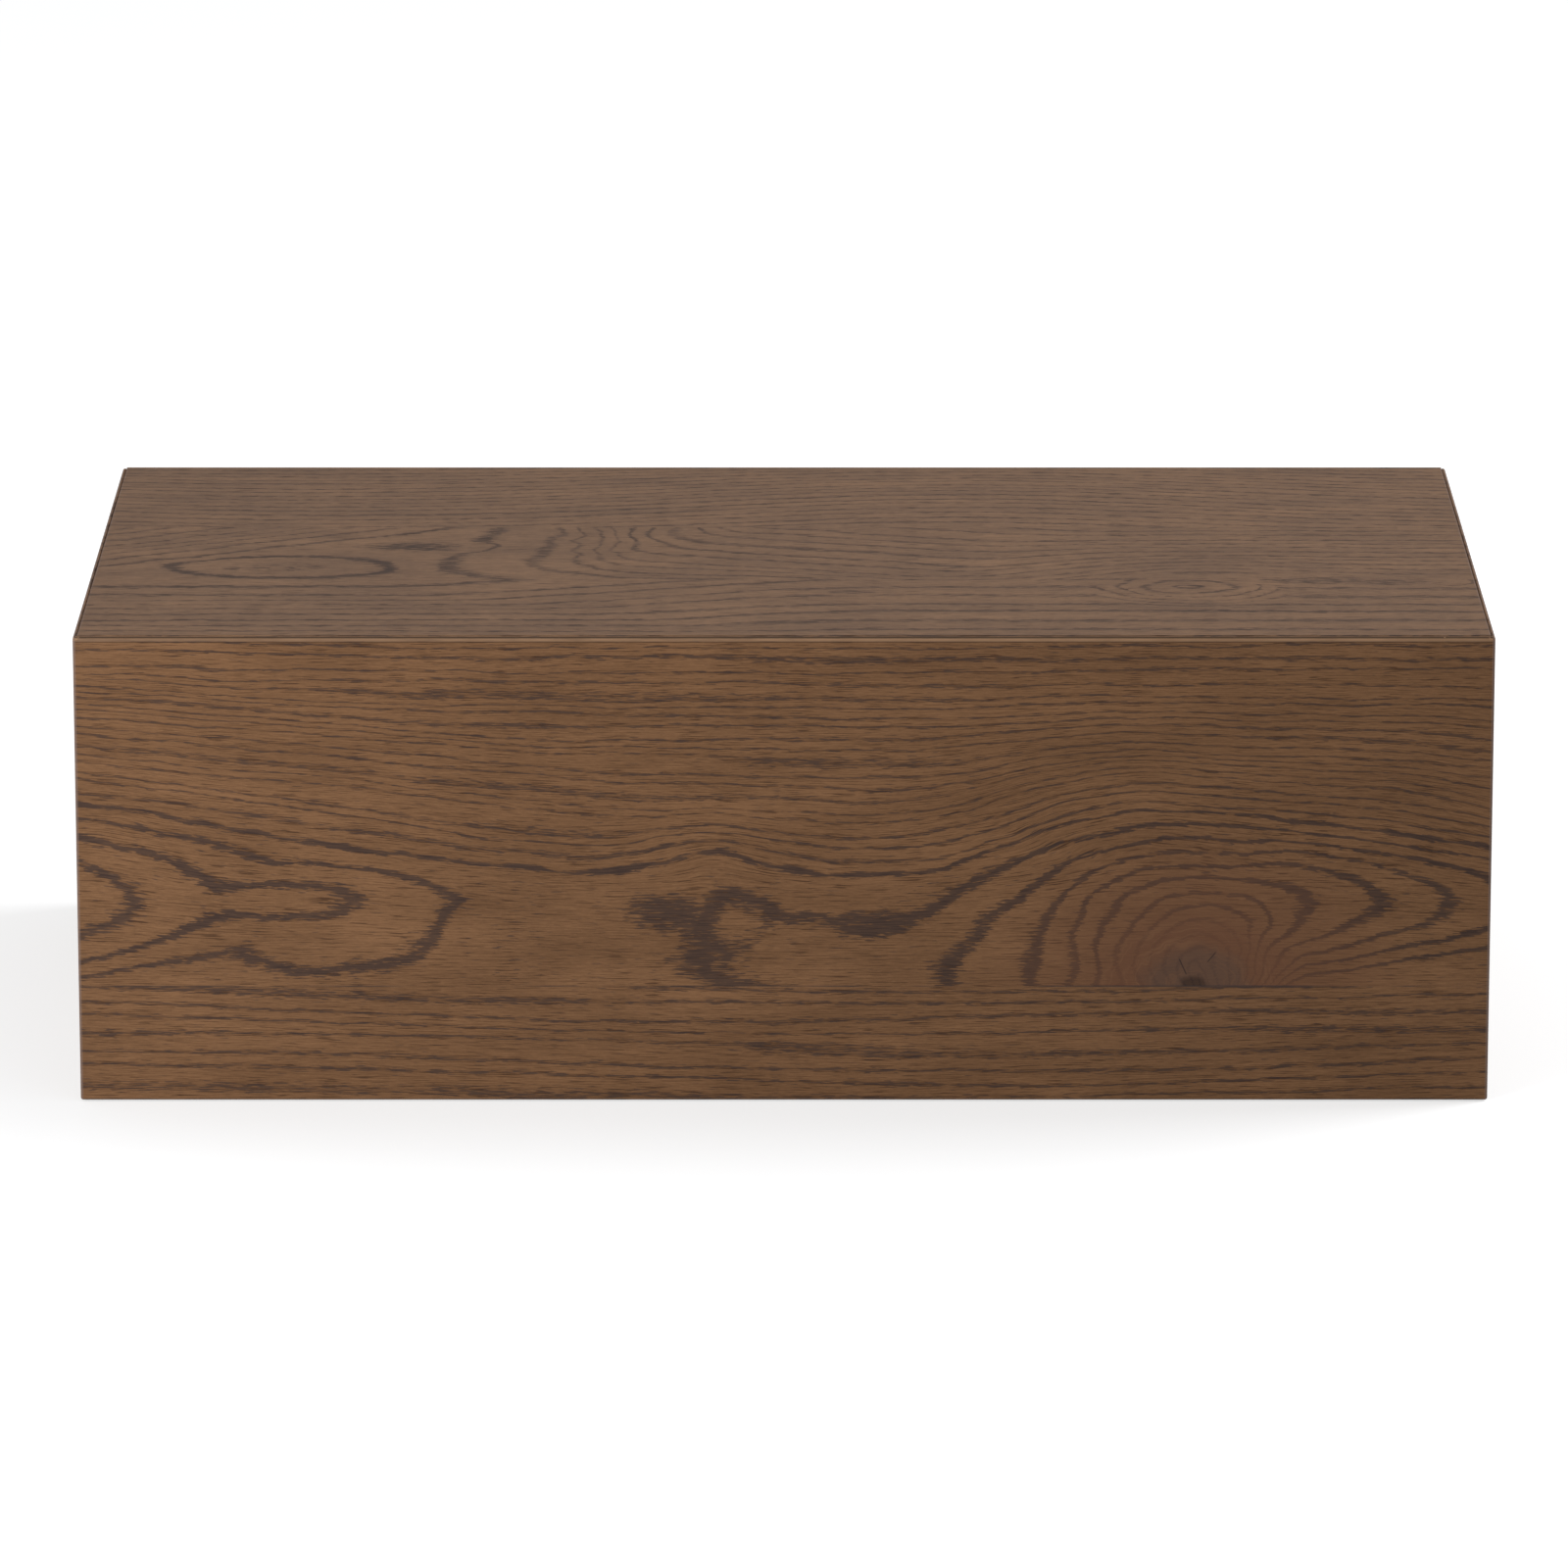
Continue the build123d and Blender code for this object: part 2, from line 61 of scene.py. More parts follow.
Rgba = tuple[float, float, float, float]
Point = tuple[float, float, float]


def srgb(red: float, green: float, blue: float) -> Rgba:
    """Turn a colour as it is seen on a screen into the linear colour of a shader.

    Args:
        red: Red, 0 to 255.
        green: Green, 0 to 255.
        blue: Blue, 0 to 255.

    Returns:
        Linear red, green, blue and an alpha of 1.
    """
    linear = []
    for part in (red, green, blue):
        value = part / 255
        linear.append(value / 12.92 if value <= 0.04045 else ((value + 0.055) / 1.055) ** 2.4)
    return (*linear, 1.0)


class Wire:
    """A number, vector or colour that runs from one node of a finish to the next."""

    def __init__(self, bench: Bench, socket: bpy.types.NodeSocket) -> None:
        """Keep the bench that the wire belongs to and the socket it comes from."""
        self.bench = bench
        self.socket = socket

    def __add__(self, other: Number) -> Wire:
        """Add."""
        return self.bench.math("ADD", self, other)

    def __radd__(self, other: Number) -> Wire:
        """Add, with the plain number first."""
        return self.bench.math("ADD", other, self)

    def __sub__(self, other: Number) -> Wire:
        """Take away."""
        return self.bench.math("SUBTRACT", self, other)

    def __rsub__(self, other: Number) -> Wire:
        """Take away from a plain number."""
        return self.bench.math("SUBTRACT", other, self)

    def __mul__(self, other: Number) -> Wire:
        """Multiply."""
        return self.bench.math("MULTIPLY", self, other)

    def __truediv__(self, other: Number) -> Wire:
        """Divide."""
        return self.bench.math("DIVIDE", self, other)

    def __pow__(self, other: Number) -> Wire:
        """Raise to a power."""
        return self.bench.math("POWER", self, other)

    def __abs__(self) -> Wire:
        """Drop the sign."""
        return self.bench.math("ABSOLUTE", self)

    def lower(self, other: Number, round_off: float = 0.0) -> Wire:
        """Keep the smaller of two numbers.

        Args:
            other: The other number.
            round_off: How widely the corner between them is rounded off.

        Returns:
            The smaller number.
        """
        if round_off:
            return self.bench.math("SMOOTH_MIN", self, other, round_off)
        return self.bench.math("MINIMUM", self, other)

    def higher(self, other: Number, round_off: float = 0.0) -> Wire:
        """Keep the larger of two numbers.

        Args:
            other: The other number.
            round_off: How widely the corner between them is rounded off.

        Returns:
            The larger number.
        """
        if round_off:
            return self.bench.math("SMOOTH_MAX", self, other, round_off)
        return self.bench.math("MAXIMUM", self, other)

    def step(self, start: float, end: float) -> Wire:
        """Rise smoothly from 0 at start to 1 at end; start may be the larger."""
        return self.bench.step(self, start, end)


Number = Wire | float
Colour = Wire | Rgba
Place = tuple[Wire, Wire, Wire]


class Bench:
    """One node tree, with short calls for the nodes that a finish needs."""

    def __init__(self, owner: bpy.types.Material | bpy.types.World) -> None:
        """Start with an empty tree.

        Args:
            owner: The material or the sky that the tree belongs to.
        """
        self.owner = owner
        owner.use_nodes = True
        self.tree = owner.node_tree
        self.tree.nodes.clear()

    @classmethod
    def of_material(cls, name: str) -> Bench:
        """Start an empty material."""
        return cls(bpy.data.materials.new(name))

    def node(self, kind: str, **settings: object) -> bpy.types.Node:
        """Add a node.

        Args:
            kind: The node's type.
            settings: Its own choices.

        Returns:
            The node.
        """
        node = self.tree.nodes.new(kind)
        for key, value in settings.items():
            setattr(node, key, value)
        return node

    def plug(self, socket: bpy.types.NodeSocket, value: object) -> None:
        """Feed a socket, or leave it as it is.

        Args:
            socket: The socket.
            value: A wire, a plain value, or None to leave it.
        """
        if isinstance(value, Wire):
            self.tree.links.new(value.socket, socket)
        elif value is not None:
            socket.default_value = value

    def math(self, operation: str, *values: Number) -> Wire:
        """Work out one sum of plain numbers.

        Args:
            operation: The Math node's operation.
            values: Its inputs in order.

        Returns:
            The result.
        """
        node = self.node("ShaderNodeMath", operation=operation)
        for socket, value in zip(node.inputs, values):
            self.plug(socket, value)
        return Wire(self, node.outputs[0])

    def step(self, value: Wire, start: float, end: float) -> Wire:
        """Map a number to a smooth rise from 0 to 1.

        Args:
            value: The number.
            start: Where the rise begins.
            end: Where it has reached 1.

        Returns:
            The risen number, held between 0 and 1.
        """
        node = self.node("ShaderNodeMapRange", interpolation_type="SMOOTHSTEP")
        flip = start > end
        self.plug(node.inputs["Value"], value)
        node.inputs["From Min"].default_value = end if flip else start
        node.inputs["From Max"].default_value = start if flip else end
        node.inputs["To Min"].default_value = 1.0 if flip else 0.0
        node.inputs["To Max"].default_value = 0.0 if flip else 1.0
        return Wire(self, node.outputs["Result"])

    def place(self) -> Place:
        """Read the place on the object.

        Returns:
            X, Y and Z in millimetres.
        """
        source = self.node("ShaderNodeTexCoord")
        scale = self.node("ShaderNodeVectorMath", operation="SCALE")
        self.tree.links.new(source.outputs["Object"], scale.inputs[0])
        scale.inputs["Scale"].default_value = MM
        split = self.node("ShaderNodeSeparateXYZ")
        self.tree.links.new(scale.outputs[0], split.inputs[0])
        return tuple(Wire(self, split.outputs[axis]) for axis in "XYZ")

    def seen(self) -> Wire:
        """Tell apart the rays that show a thing to the viewer, straight or in a reflection.

        Returns:
            1 for those rays and 0 for the rays that only carry light.
        """
        path = self.node("ShaderNodeLightPath")
        direct, mirrored, through = (Wire(self, path.outputs[ray]) for ray in SEEN_RAYS)
        return direct.higher(mirrored).higher(through)

    def vector(self, x: Number, y: Number, z: Number = 0.0) -> Wire:
        """Join three numbers into a vector.

        Args:
            x: The first number.
            y: The second.
            z: The third.

        Returns:
            The vector.
        """
        node = self.node("ShaderNodeCombineXYZ")
        for socket, value in zip(node.inputs, (x, y, z)):
            self.plug(socket, value)
        return Wire(self, node.outputs[0])

    def reach(self, x: Number, y: Number, z: Number = 0.0) -> Wire:
        """Measure the length of a vector.

        Args:
            x: The vector's first number.
            y: Its second.
            z: Its third.

        Returns:
            The length.
        """
        node = self.node("ShaderNodeVectorMath", operation="LENGTH")
        self.plug(node.inputs[0], self.vector(x, y, z))
        return Wire(self, node.outputs["Value"])

    def noise(self, x: Number, y: Number, z: Number = 0.0, detail: float = 1.0,
              rough: float = 0.5) -> Wire:
        """Read an even cloud pattern whose blots are about one unit across.

        Args:
            x: Place along the first axis, in blots.
            y: Place along the second.
            z: Place along the third, or a seed.
            detail: How many finer layers lie on the first.
            rough: How strong each finer layer is.

        Returns:
            A number around 0.5.
        """
        node = self.node("ShaderNodeTexNoise", noise_dimensions="3D")
        self.plug(node.inputs["Vector"], self.vector(x, y, z))
        node.inputs["Scale"].default_value = 1.0
        node.inputs["Detail"].default_value = detail
        node.inputs["Roughness"].default_value = rough
        return Wire(self, node.outputs[0])

    def mix(self, amount: Number, first: Colour, second: Colour) -> Wire:
        """Blend two colours.

        Args:
            amount: 0 for the first, 1 for the second.
            first: The colour that is there.
            second: The colour that comes over it.

        Returns:
            The blended colour.
        """
        node = self.node("ShaderNodeMix", data_type="RGBA", clamp_factor=True)
        self.plug(node.inputs[0], amount)
        self.plug(node.inputs[6], first)
        self.plug(node.inputs[7], second)
        return Wire(self, node.outputs[2])

    def shade(self, colour: Wire, amount: Number) -> Wire:
        """Make a colour brighter or darker.

        Args:
            colour: The colour.
            amount: What it is multiplied by.

        Returns:
            The new colour.
        """
        node = self.node("ShaderNodeVectorMath", operation="SCALE")
        self.plug(node.inputs[0], colour)
        self.plug(node.inputs["Scale"], amount)
        return Wire(self, node.outputs[0])

    def relief(self, height: Wire, depth: float) -> Wire:
        """Turn a height into a bumped surface.

        Args:
            height: 0 for low and 1 for high.
            depth: Millimetres between low and high.

        Returns:
            The surface direction.
        """
        node = self.node("ShaderNodeBump")
        node.inputs["Strength"].default_value = 1.0
        node.inputs["Distance"].default_value = depth / MM
        self.plug(node.inputs["Height"], height)
        return Wire(self, node.outputs[0])

    def close(self, colour: Colour, rough: Number, normal: Wire | None = None,
              metal: float = 0.0, gloss: float = 0.5) -> bpy.types.Material:
        """Finish the material.

        Args:
            colour: Base colour.
            rough: Roughness.
            normal: Surface direction, where there is relief.
            metal: 1 for bare metal.
            gloss: Strength of the clear reflection, 0.5 for common varnish.

        Returns:
            The material.
        """
        skin = self.node("ShaderNodeBsdfPrincipled")
        self.plug(skin.inputs["Base Color"], colour)
        self.plug(skin.inputs["Roughness"], rough)
        self.plug(skin.inputs["Normal"], normal)
        skin.inputs["Metallic"].default_value = metal
        skin.inputs["Specular IOR Level"].default_value = gloss
        self.end("ShaderNodeOutputMaterial", skin)
        return self.owner

    def end(self, kind: str, shader: bpy.types.Node) -> None:
        """Lead a shader to the tree's end, which is a node of the given kind."""
        self.tree.links.new(shader.outputs[0], self.node(kind).inputs["Surface"])


@dataclass(frozen=True)
class Swell:
    """A spot around which the growth rings lift, in millimetres on the board's face."""

    lift: float
    along: float
    across: float
    reach_along: float
    reach_across: float

    def draw(self, along: Wire, across: Wire) -> Wire:
        """Work out how far the rings lift at a place.

        Args:
            along: Millimetres along the grain.
            across: Millimetres across it.

        Returns:
            The lift in millimetres.
        """
        away = along.bench.reach((along - self.along) / self.reach_along,
                                 (across - self.across) / self.reach_across)
        return along.bench.math("EXPONENT", away * away * -1.0) * self.lift


# A form draws the ring count of one feature of a board's figure. Its level is the count at the
# feature's first ring, and its pitch is the distance from one ring to the next.


@dataclass(frozen=True)
class Tongue:
    """Nested tongues of rings with their tips on one line, in millimetres on the board's face."""

    level: float
    tip: float
    pitch: float
    axis: float
    half_width: float

    def draw(self, along: Wire, across: Wire) -> Wire:
        """Work out the ring count at a place, counted from the crown of the board.

        Args:
            along: Millimetres along the grain.
            across: Millimetres across it.

        Returns:
            The ring count.
        """
        side = (across - self.axis) / self.half_width
        return (along - self.tip) / self.pitch + side * side + self.level


@dataclass(frozen=True)
class Eye:
    """Closed rings around one spot, in millimetres on the board's face."""

    level: float
    along: float
    across: float
    stretch: float
    core: float
    pitch: float
    wall: float
    wall_power: float = 6.0

    def draw(self, along: Wire, across: Wire) -> Wire:
        """Work out the ring count at a place.

        Args:
            along: Millimetres along the grain.
            across: Millimetres across it.

        Returns:
            The ring count.
        """
        away = along.bench.reach((along - self.along) / self.stretch, across - self.across)
        return (away - self.core) / self.pitch + (away / self.wall) ** self.wall_power + self.level


@dataclass(frozen=True)
class Lens:
    """A closed ring round a calm spot, with calm wood just outside it, in millimetres."""

    level: float
    along: float
    across: float
    stretch: float
    core: float
    pitch: float
    most: float

    def draw(self, along: Wire, across: Wire) -> Wire:
        """Work out the ring count at a place.

        Args:
            along: Millimetres along the grain.
            across: Millimetres across it.

        Returns:
            The ring count.
        """
        away = along.bench.reach((along - self.along) / self.stretch, across - self.across)
        return ((away - self.core) / self.pitch).lower(self.most) + self.level


@dataclass(frozen=True)
class Ramp:
    """Straight rows of rings that climb across the grain, in millimetres on the board's face."""

    level: float
    along: float
    across: float
    slope: float
    pitch: float

    def draw(self, along: Wire, across: Wire) -> Wire:
        """Work out the ring count at a place.

        Args:
            along: Millimetres along the grain.
            across: Millimetres across it.

        Returns:
            The ring count.
        """
        climb = (along - self.along) * self.slope + self.across
        return (across - climb) / self.pitch + self.level


@dataclass(frozen=True)
class Crescents:
    """Arcs of rings that come down across the grain and run out to the right, in millimetres."""

    level: float
    along: float
    across: float
    wide_pitch: float
    tight_pitch: float
    tilt: float
    run: float
    run_slope: float
    run_pitch: float
    round_off: float
    bend: float = 0.6  # how softly the wide arcs turn into the tight ones, in rings

    def draw(self, along: Wire, across: Wire) -> Wire:
        """Work out the ring count at a place.

        Args:
            along: Millimetres along the grain.
            across: Millimetres across it.

        Returns:
            The ring count.
        """
        aside = along - self.along
        wide = (aside - (across - self.across) * self.tilt) / self.wide_pitch
        arcs = wide.higher(aside / self.tight_pitch, self.bend)
        runs = (across + along * self.run_slope - self.run) / self.run_pitch
        return arcs.lower(runs, self.round_off) + self.level


@dataclass(frozen=True)
class Foot:
    """Rows of rings under the arcs, which climb to the right between two places."""

    level: float
    across: float
    slope: float
    pitch: float
    start: float
    end: float
    bend: float = 60.0  # how softly the climb starts and ends

    def draw(self, along: Wire, across: Wire) -> Wire:
        """Work out the ring count at a place.

        Args:
            along: Millimetres along the grain.
            across: Millimetres across it.

        Returns:
            The ring count.
        """
        climbed = along.higher(self.start, self.bend).lower(self.end, self.bend)
        climb = climbed * self.slope + self.across
        return (climb - across) / self.pitch + self.level


@dataclass(frozen=True)
class Knot:
    """Tight arches of rings over a knot, with long tongues on its right, in millimetres."""

    along: float
    across: float
    radius: float
    pitch: float
    left_stretch: float
    right_stretch: float
    left_squeeze: float
    right_squeeze: float
    corner: float  # 2 for round arches, more for square ones
    shoulder: float  # height below which the arches spread to the left
    spread: float  # how far they spread for each millimetre below it
    tongue: Tongue
    tongue_start: float  # the tongues take over from here
    tongue_end: float  # to here
    outer_gain: float  # how much closer the outer rings lie
    spread_start: float = -76.0  # the spread grows to the left from here
    spread_full: float = -260.0  # to here
    spread_most: float = 128.0  # depth below the shoulder from which it stays the same

    def draw(self, along: Wire, across: Wire) -> Wire:
        """Work out the ring count at a place.

        Args:
            along: Millimetres along the grain.
            across: Millimetres across it.

        Returns:
            The ring count.
        """
        aside = along - self.along
        spread = (self.shoulder - across).higher(0.0).lower(self.spread_most) * self.spread
        aside = aside + spread * aside.step(self.spread_start, self.spread_full)
        right = along.bench.math("GREATER_THAN", aside, 0.0)
        stretch = right * (self.right_stretch - self.left_stretch) + self.left_stretch
        squeeze = right * (self.right_squeeze - self.left_squeeze) + self.left_squeeze
        width = stretch * abs(aside) ** squeeze
        rise = abs(across - self.across)
        away = (width ** self.corner + rise ** self.corner) ** (1.0 / self.corner)
        outer = (away - self.radius).higher(0.0) * self.outer_gain
        arches = (away - self.radius) / self.pitch + outer
        side = along.step(self.tongue_start, self.tongue_end)
        tongues = self.tongue.draw(along, across)
        return arches * (1.0 - side) + tongues * side


Form = Tongue | Eye | Lens | Ramp | Crescents | Foot | Knot


class Join(Enum):
    """How a form meets the rings that are there."""

    UNDER = "under"
    OVER = "over"

    def meet(self, rings: Wire, other: Wire, round_off: float) -> Wire:
        """Keep the lower ring count where the form goes under, or else the higher.

        Args:
            rings: The ring count that is there.
            other: The form's ring count.
            round_off: How widely the corner between them is rounded off, in rings.

        Returns:
            The ring count.
        """
        if self is Join.UNDER:
            return rings.lower(other, round_off)
        return rings.higher(other, round_off)


@dataclass(frozen=True)
class Figure:
    """How the growth rings of one sheet of veneer lie, in millimetres on the board's face.

    The rings are counted up and down from the crown, where the first ring closes on itself.
    """

    pitch: float
    base: float
    crown: float
    swells: tuple[Swell, ...]
    forms: tuple[tuple[Form, Join, float], ...] = ()

    def draw(self, along: Wire, across: Wire) -> tuple[Wire, Wire]:
        """Work out the rings at a place.

        Args:
            along: Millimetres along the grain.
            across: Millimetres across it.

        Returns:
            The ring count, and how far the fibres lift in millimetres.
        """
        lift = None
        for swell in self.swells:
            raised = swell.draw(along, across)
            lift = raised if lift is None else lift + raised
        rings = (across - lift - self.base) / self.pitch
        if self.forms:
            rings = rings.higher(self.crown, 1.0)
        for form, join, round_off in self.forms:
            rings = join.meet(rings, form.draw(along, across), round_off)
        return rings, lift


# Each swell and form gives its numbers in the order of its fields.
FRONT_FIGURE = Figure(
    pitch=8.7, base=165.0, crown=-0.6,
    swells=(Swell(42, -520, 215, 110, 80), Swell(24, -340, 212, 150, 70),
            Swell(16, -48, 184, 50, 24), Swell(44, 245, 215, 100, 55),
            Swell(32, 410, 212, 110, 55), Swell(6, -60, 240, 160, 60)),
    forms=((Tongue(-3, -462, 69, 149, 37), Join.UNDER, 0.6),
           (Eye(-2, -362, 148, 4.7, 12, 20, 34), Join.UNDER, 0.3),
           (Eye(-1, -338, 121, 2.2, 27, 34, 42), Join.UNDER, 0.3),
           (Eye(-1, -259, 137, 1.0, 23, 62, 34), Join.UNDER, 0.4),
           (Eye(-1, -288, 119, 1.7, 21, 50, 32), Join.UNDER, 0.5),
           (Eye(-1, -33, 131, 1.2, 24, 80, 42), Join.UNDER, 0.3),
           (Eye(-1, 8, 119, 2.2, 19, 40, 30), Join.UNDER, 0.2),
           (Eye(-1.02, -82, 139, 2.0, 0, 110, 25), Join.UNDER, 0.1),
           (Eye(-1, -58, 129, 1.0, 0, 120, 29), Join.UNDER, 0.1),
           (Eye(-1, 66, 131, 4.6, 0, 120, 14), Join.UNDER, 0.1),
           (Eye(-1, 71, 101, 5.45, 25, 34, 46), Join.UNDER, 0.3),
           (Knot(along=296, across=82.4, radius=131, pitch=9.9, left_stretch=8.0,
                 right_stretch=11.9, left_squeeze=0.54, right_squeeze=0.415, corner=3.9,
                 shoulder=232, spread=0.64, tongue=Tongue(-4, 424, 52, 146, 25.5),
                 tongue_start=312, tongue_end=372, outer_gain=0.2), Join.UNDER, 1.0)))
FRONT_LEAF = Figure(pitch=11.0, base=-48.0, crown=0.0, swells=(Swell(-14, 60, 40, 380, 200),))
FRONT_SEAM = 85.0  # height of the joint between the front's two leaves of veneer

TOP_FIGURE = Figure(
    pitch=14.0, base=-143.0, crown=2.0,
    swells=(Swell(-34, 120, -80, 100, 70), Swell(24, 300, -90, 90, 60)),
    forms=((Ramp(2, 0, -115, 0, -15), Join.OVER, 0.5),
           (Crescents(level=4, along=-152, across=-40, wide_pitch=44, tight_pitch=14, tilt=0.3,
                      run=-111, run_slope=0.27, run_pitch=22, round_off=3.0), Join.UNDER, 0.6),
           (Foot(level=3, across=-84, slope=0.25, pitch=25, start=-260, end=20), Join.OVER, 0.4),
           (Ramp(3, 0, -149, 0, -16), Join.OVER, 0.5),
           (Ramp(2, -415, -21, 0.5, 17), Join.OVER, 0.3),
           (Lens(1, -362, -63, 2.3, 36, 28, 0.5), Join.OVER, 0.1),
           (Ramp(0.24, 0, 0, 0, 1000), Join.OVER, 0.1),
           (Eye(1, -272, 2, 2.5, 0, 150, 26), Join.UNDER, 0.1),
           (Eye(3, 290, -125, 1.5, 20, 13, 60), Join.UNDER, 0.3),
           (Eye(3.05, 388, -106, 3.4, 0, 90, 20), Join.UNDER, 0.1),
           (Eye(3.05, 436, -110, 3.6, 0, 90, 18), Join.UNDER, 0.1),
           (Eye(5, 48, -141, 2.2, 0, 90, 13), Join.UNDER, 0.1),
           (Eye(5, 193, -136, 2.4, 0, 90, 11), Join.UNDER, 0.1)))
TOP_LEAF = Figure(
    pitch=13.0, base=0.0, crown=0.0,
    swells=(Swell(60, 130, 170, 260, 160), Swell(20, -560, 150, 130, 100)))
TOP_SEAM = 66.0  # place of the joint between the lid's two leaves of veneer
SIDE_FIGURE = Figure(
    pitch=10.5, base=150.0, crown=-0.6,
    swells=(Swell(26, -210, 210, 120, 90), Swell(-18, 60, 200, 110, 80),
            Swell(22, 240, 180, 90, 90)),
    forms=((Tongue(-4, -160, 44, 128, 30), Join.UNDER, 1.0),
           (Eye(-2, 60, 120, 4.0, 10, 15, 30), Join.UNDER, 0.7)))
BACK_FIGURE = Figure(
    pitch=11.0, base=172.0, crown=-0.6,
    swells=(Swell(30, -420, 230, 160, 80), Swell(-20, -120, 210, 140, 80),
            Swell(26, 160, 220, 150, 80), Swell(-18, 430, 230, 120, 70)),
    forms=((Tongue(-5, -260, 52, 140, 26), Join.UNDER, 1.0),
           (Eye(-2, 20, 138, 4.6, 12, 14, 36), Join.UNDER, 0.7),
           (Eye(-3, 330, 128, 5.0, 14, 12, 36), Join.UNDER, 0.7)))


@dataclass(frozen=True)
class OakStain:
    """Colours of the brown stain on oak veneer."""

    pale: Rgba = srgb(136, 100, 71)
    mid: Rgba = srgb(96, 69, 48)
    ring: Rgba = srgb(86, 61, 44)
    pore: Rgba = srgb(57, 50, 50)
    dash: Rgba = srgb(64, 44, 32)
    fleck: Rgba = srgb(150, 116, 82)
    ring_cover: float = 0.42
    pore_cover: float = 0.6
    dash_cover: float = 0.8
    fleck_cover: float = 0.22
    contrast: float = 1.0  # strength of the pores' and rings' colour
    calm: float = 0.2  # how much weaker the porous bands are in straight rows
    bold: float = -0.32  # what every porous band's strength starts from
    light_and_tone_drift: float = 0.0  # change of brightness along the grain, per millimetre: painted light and shade from one end to the other, partly the veneer's own tone
    uneven: float = 2.6  # how far straight rows wander from an even spacing, in rings
    coarse: float = 1.0  # width of the fibres


# The lid's copy of the stain is paler and greyer: partly its own tone, partly a painted sheen of
# the lid's top seen at a low angle.
LID_STAIN_AND_SHEEN = OakStain(
    pale=srgb(144, 110, 82), mid=srgb(94, 72, 57), ring=srgb(80, 65, 57), pore=srgb(58, 54, 55),
    contrast=0.95, calm=0.4, bold=-0.08, light_and_tone_drift=-0.00007, uneven=1.0, coarse=1.4)


@dataclass(frozen=True)
class Crack:
    """A short crack that rises from a knot's heart, in millimetres from the heart."""

    start: float
    lean: float
    low: float
    high: float


@dataclass(frozen=True)
class KnotHeart:
    """The smooth reddish wood inside a knot, with its dark heart and two short cracks."""

    along: float = 292.0
    across: float = 87.0
    stretch: float = 1.4
    heart: Rgba = srgb(42, 36, 35)
    inner: Rgba = srgb(82, 65, 56)
    red: Rgba = srgb(99, 68, 51)
    arc: Rgba = srgb(120, 88, 64)
    heart_radius: float = 8.5
    inner_radius: float = 33.0
    smooth_radius: float = 58.0
    glow_radius: float = 125.0
    glow_full: float = 50.0
    glow: float = 0.5
    cover: float = 0.72
    wobble: float = 14.0
    crack_width: float = 0.75
    cracks: tuple[Crack, ...] = (Crack(-3.9, -0.45, 6.0, 19.0), Crack(-4.6, 0.8, 15.0, 24.0))

    def reach(self, bench: Bench, along: Wire, across: Wire, seed: float) -> Wire:
        """Measure how far a place is from the heart, a little unevenly.

        Args:
            bench: The material's nodes.
            along: Millimetres along the grain.
            across: Millimetres across it.
            seed: The board's seed.

        Returns:
            Millimetres from the heart.
        """
        uneven = bench.noise(along / 16, across / 16, seed + 51, 2.0) - 0.5
        away = bench.reach((along - self.along) / self.stretch, across - self.across)
        return away + uneven * self.wobble

    def paint(self, bench: Bench, colour: Wire, along: Wire, across: Wire, away: Wire,
              above: Wire, seed: float) -> Wire:
        """Lay the knot over the veneer's colour.

        Args:
            bench: The material's nodes.
            colour: The veneer's colour.
            along: Millimetres along the grain.
            across: Millimetres across it.
            away: Millimetres from the heart.
            above: 1 on the leaf of veneer that holds the knot.
            seed: The board's seed.

        Returns:
            The colour with the knot.
        """
        arcs = bench.noise(away / 2.6, along / 60, seed + 53, 2.0).step(0.5, 0.68)
        halo = away.step(self.glow_radius, self.glow_full) * above
        colour = bench.mix(halo * self.glow, colour, self.red)
        body = bench.mix(arcs * 0.45, self.red, self.arc)
        inner = away.step(self.inner_radius, 20.0) * (arcs * -0.3 + 0.85)
        body = bench.mix(inner, body, self.inner)
        body = bench.mix(away.step(self.heart_radius, 3.0), body, self.heart)
        smooth = away.step(self.smooth_radius, 38.0) * above
        colour = bench.mix(smooth * self.cover, colour, body)
        up = across - self.across
        for crack in self.cracks:
            off = abs(along - self.along - crack.start - up * crack.lean)
            ends = up.step(crack.low, crack.low + 1.5) * up.step(crack.high, crack.high - 2.0)
            line = off.step(self.crack_width, 0.2) * ends
            colour = bench.mix(line * above * 0.75, colour, self.heart)
        return colour


@dataclass(frozen=True)
class BoardCore:
    """Colours of the brown fibreboard between the veneers, and of its edges: rubbed stain, painted
    highlights and a glue line with painted shade.
    """

    board: Rgba = srgb(124, 98, 72)
    speck: Rgba = srgb(92, 70, 52)
    # worn_and_highlight is the rubbed stain at chipped corners and the painted highlight along the
    # rounded arris; tan is the lighter strip, partly rubbed stain and partly painted highlight.
    worn_and_highlight: Rgba = srgb(168, 132, 100)
    tan: Rgba = srgb(120, 96, 78)
    # grey_and_highlight greys the stain on the case boards' ends and side strips, and is the
    # painted highlight on the lid's arrises.
    grey_and_highlight: Rgba = srgb(122, 104, 96)
    # A dark glue line, and painted shade in the joint under the lid.
    glue_and_gap_shade: Rgba = srgb(52, 42, 36)


class Facing(Enum):
    """Which way a board's outer face looks: axis along the grain, across it, through it, sign."""

    FRONT = (0, 2, 1, -1)
    BACK = (0, 2, 1, 1)
    LEFT = (1, 2, 0, -1)
    RIGHT = (1, 2, 0, 1)
    TOP = (0, 1, 2, 1)


@dataclass(frozen=True)
class Mark:
    """One kind of mark in veneer: its size in millimetres, and how finely it breaks up."""

    length: float
    width: float
    seed: float = 0.0
    detail: float = 1.0
    rough: float = 0.5

    def draw(self, along: Wire, across: Wire, seed: float) -> Wire:
        """Read the marks' cloud pattern, which is a number around 0.5."""
        return along.bench.noise(along / self.length, across / self.width, seed + self.seed,
                                 self.detail, self.rough)


